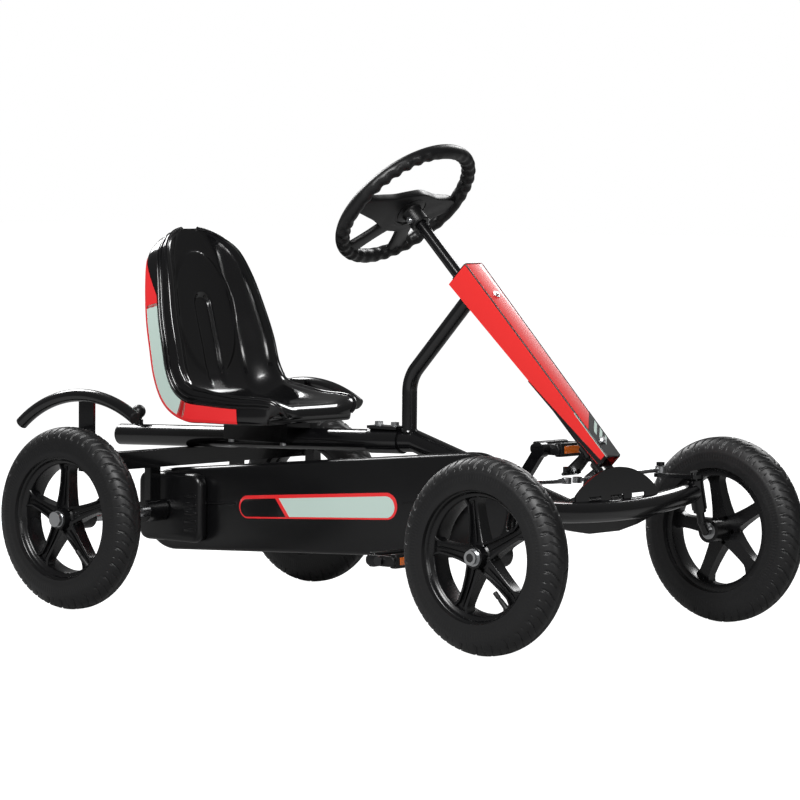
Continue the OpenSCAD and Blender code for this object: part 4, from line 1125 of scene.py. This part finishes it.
@dataclass
class Pedals:
    """Treads and reflectors of the two pedals."""

    def build(self) -> None:
        """Builds both pedals from their nodes' boxes."""
        for side in Side:
            self.pedal(side)

    def pedal(self, side: Side) -> None:
        """Builds one pedal: end plates, two treads with ribs and two reflectors."""
        low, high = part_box("pedal_" + side.word)
        c = (Vector(low) + Vector(high)) / 2
        half = (Vector(high) - Vector(low)) / 2 / MM
        body = "pedal_" + side.word[0]
        shape = Shape()

        def put(x: float, z: float, y: float) -> Vector:
            """Returns the point x, y, z millimetres from the pedal's middle."""
            return c + Vector((x, y, z)) * MM

        hy = half.y
        for y0, y1 in ((-hy, -hy + 8), (hy - 8, hy)):
            shape.prism(rounded(-half.x, half.x, -9, 9, 8), put, y0, y1, 1.5)
        for sx in (-1, 1):
            a, b = sorted((sx * half.x, sx * (half.x - 15)))
            shape.prism(rounded(a, b, -half.z, half.z, 4), put, -hy + 7, hy - 7, 1.5)
        shape.lathe([(6, -hy + 4), (9, -hy + 4), (9, hy - 4), (6, hy - 4)], c, Vector((0, 1, 0)), 32)
        shape.prism(rounded(-half.x + 10, half.x - 10, -3, 3, 2), put, -hy * 0.35, -hy * 0.2, 1)
        shape.prism(rounded(-half.x + 10, half.x - 10, -3, 3, 2), put, hy * 0.2, hy * 0.35, 1)
        block = shape.make("pedal_block_" + side.word, MOULDED, body, sharp=35)
        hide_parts("pedal_" + side.word)
        glass = Shape()
        for sx in (-1, 1):
            x0, x1 = sorted((sx * (half.x - 1.2), sx * (half.x + 1.0)))
            glass.prism(rounded(-hy + 16, hy - 16, -6.5, 6.5, 1.5),
                        lambda y, z, x: c + Vector((x, y, z)) * MM, x0, x1, 0.6)
        glass.make("pedal_reflectors_" + side.word, ORANGE, body)


# ---------------------------------------------------------------- light, camera, main


def dress_nodes() -> None:
    """Gives the CAD nodes that stay visible the finish of their slot."""
    used = (POWDER, PLATE, CASE, MOULDED, RED_COVER, SEAT_GLOSS, ZINC, STEEL, RIM, TYRE)
    finishes = {f.name: f for f in used}
    for entry in frame["record"]["subparts"]:
        node = frame["nodes"][entry["node"]]
        finish = finishes.get(entry["material_slot"], POWDER)
        for k in range(len(node.material_slots)):
            node.material_slots[k].material = finish.material()


def floor_material() -> bpy.types.Material:
    """Returns the floor's finish: pale, and bright enough to the eye to meet the white backdrop."""
    made = bpy.data.materials.new("floor_pale")
    made.use_nodes = True
    nodes, links = made.node_tree.nodes, made.node_tree.links
    shader = nodes["Principled BSDF"]
    shader.inputs["Base Color"].default_value = (0.3, 0.3, 0.3, 1.0)
    shader.inputs["Roughness"].default_value = 0.9
    shader.inputs["Emission Color"].default_value = (1.0, 1.0, 1.0, 1.0)
    seen = nodes.new("ShaderNodeLightPath")
    bright = nodes.new("ShaderNodeMapRange")
    bright.inputs["To Min"].default_value = 0.03
    bright.inputs["To Max"].default_value = 1.0
    links.new(seen.outputs["Is Camera Ray"], bright.inputs["Value"])
    links.new(bright.outputs["Result"], shader.inputs["Emission Strength"])
    return made


def light_and_camera() -> None:
    """Sets a white world, soft panels, a plain floor and the camera."""
    scene = bpy.context.scene
    scene.view_settings.view_transform = "Standard"
    world = bpy.data.worlds.new("studio")
    world.use_nodes = True
    nodes, links = world.node_tree.nodes, world.node_tree.links
    seen = nodes.new("ShaderNodeLightPath")
    bright = nodes.new("ShaderNodeMapRange")
    bright.inputs["To Min"].default_value = 0.12
    bright.inputs["To Max"].default_value = 1.0
    links.new(seen.outputs["Is Camera Ray"], bright.inputs["Value"])
    links.new(bright.outputs["Result"], nodes["Background"].inputs["Strength"])
    nodes["Background"].inputs["Color"].default_value = (1, 1, 1, 1)
    scene.world = world
    lamps = (("key", (1.2, -3.4, 2.9), 1.5, 170), ("front", (4.6, -1.6, 1.6), 1.0, 34),
             ("fill", (-0.6, 3.4, 2.8), 1.4, 60), ("back", (-3.0, 0.6, 2.6), 1.2, 90))
    for name, where, size, power in lamps:
        lamp = bpy.data.lights.new(name, "AREA")
        lamp.energy, lamp.size = power, size
        obj = bpy.data.objects.new(name, lamp)
        obj.location = where
        obj.rotation_euler = (Vector((0, 0, 0.3)) - Vector(where)).to_track_quat("-Z", "Y").to_euler()
        scene.collection.objects.link(obj)
    floor_mesh = bpy.data.meshes.new("floor")
    corners = [(-30, -30, -0.001), (30, -30, -0.001), (30, 30, -0.001), (-30, 30, -0.001)]
    floor_mesh.from_pydata(corners, [], [(0, 1, 2, 3)])
    floor = bpy.data.objects.new("floor", floor_mesh)
    scene.collection.objects.link(floor)
    floor_mesh.materials.append(floor_material())

    target = at(476.6, 0, 371.2)
    place = at(4773.3, -5108.5, 774.4)
    ahead = (target - place).normalized()
    right = ahead.cross(Vector((0, 0, 1))).normalized()
    up = right.cross(ahead)
    roll = math.radians(0.48)
    r2 = right * math.cos(roll) + up * math.sin(roll)
    u2 = up * math.cos(roll) - right * math.sin(roll)
    lens = bpy.data.cameras.new("camera")
    lens.sensor_width, lens.lens = 36.0, 176.4
    camera = bpy.data.objects.new("camera", lens)
    turn = Matrix((r2, u2, -ahead)).transposed().to_4x4()
    camera.matrix_world = Matrix.Translation(place) @ turn
    scene.collection.objects.link(camera)
    scene.camera = camera


def main() -> None:
    """Builds the kart's pieces in order and reports them."""
    logging.basicConfig(level=logging.INFO, format="%(message)s")
    dress_nodes()
    wheels = (("front", Side.RIGHT, "wheel_front_right"), ("front", Side.LEFT, "wheel_front_left"),
              ("rear", Side.RIGHT, "wheel_rear_right"), ("rear", Side.LEFT, "axle"))
    for place, side, body in wheels:
        Wheel(place, side, body).build()
    Seat().build()
    Steering().build()
    ChainCase().build()
    FrameWork().build()
    Pedals().build()
    light_and_camera()


if __name__ == "__main__":
    main()
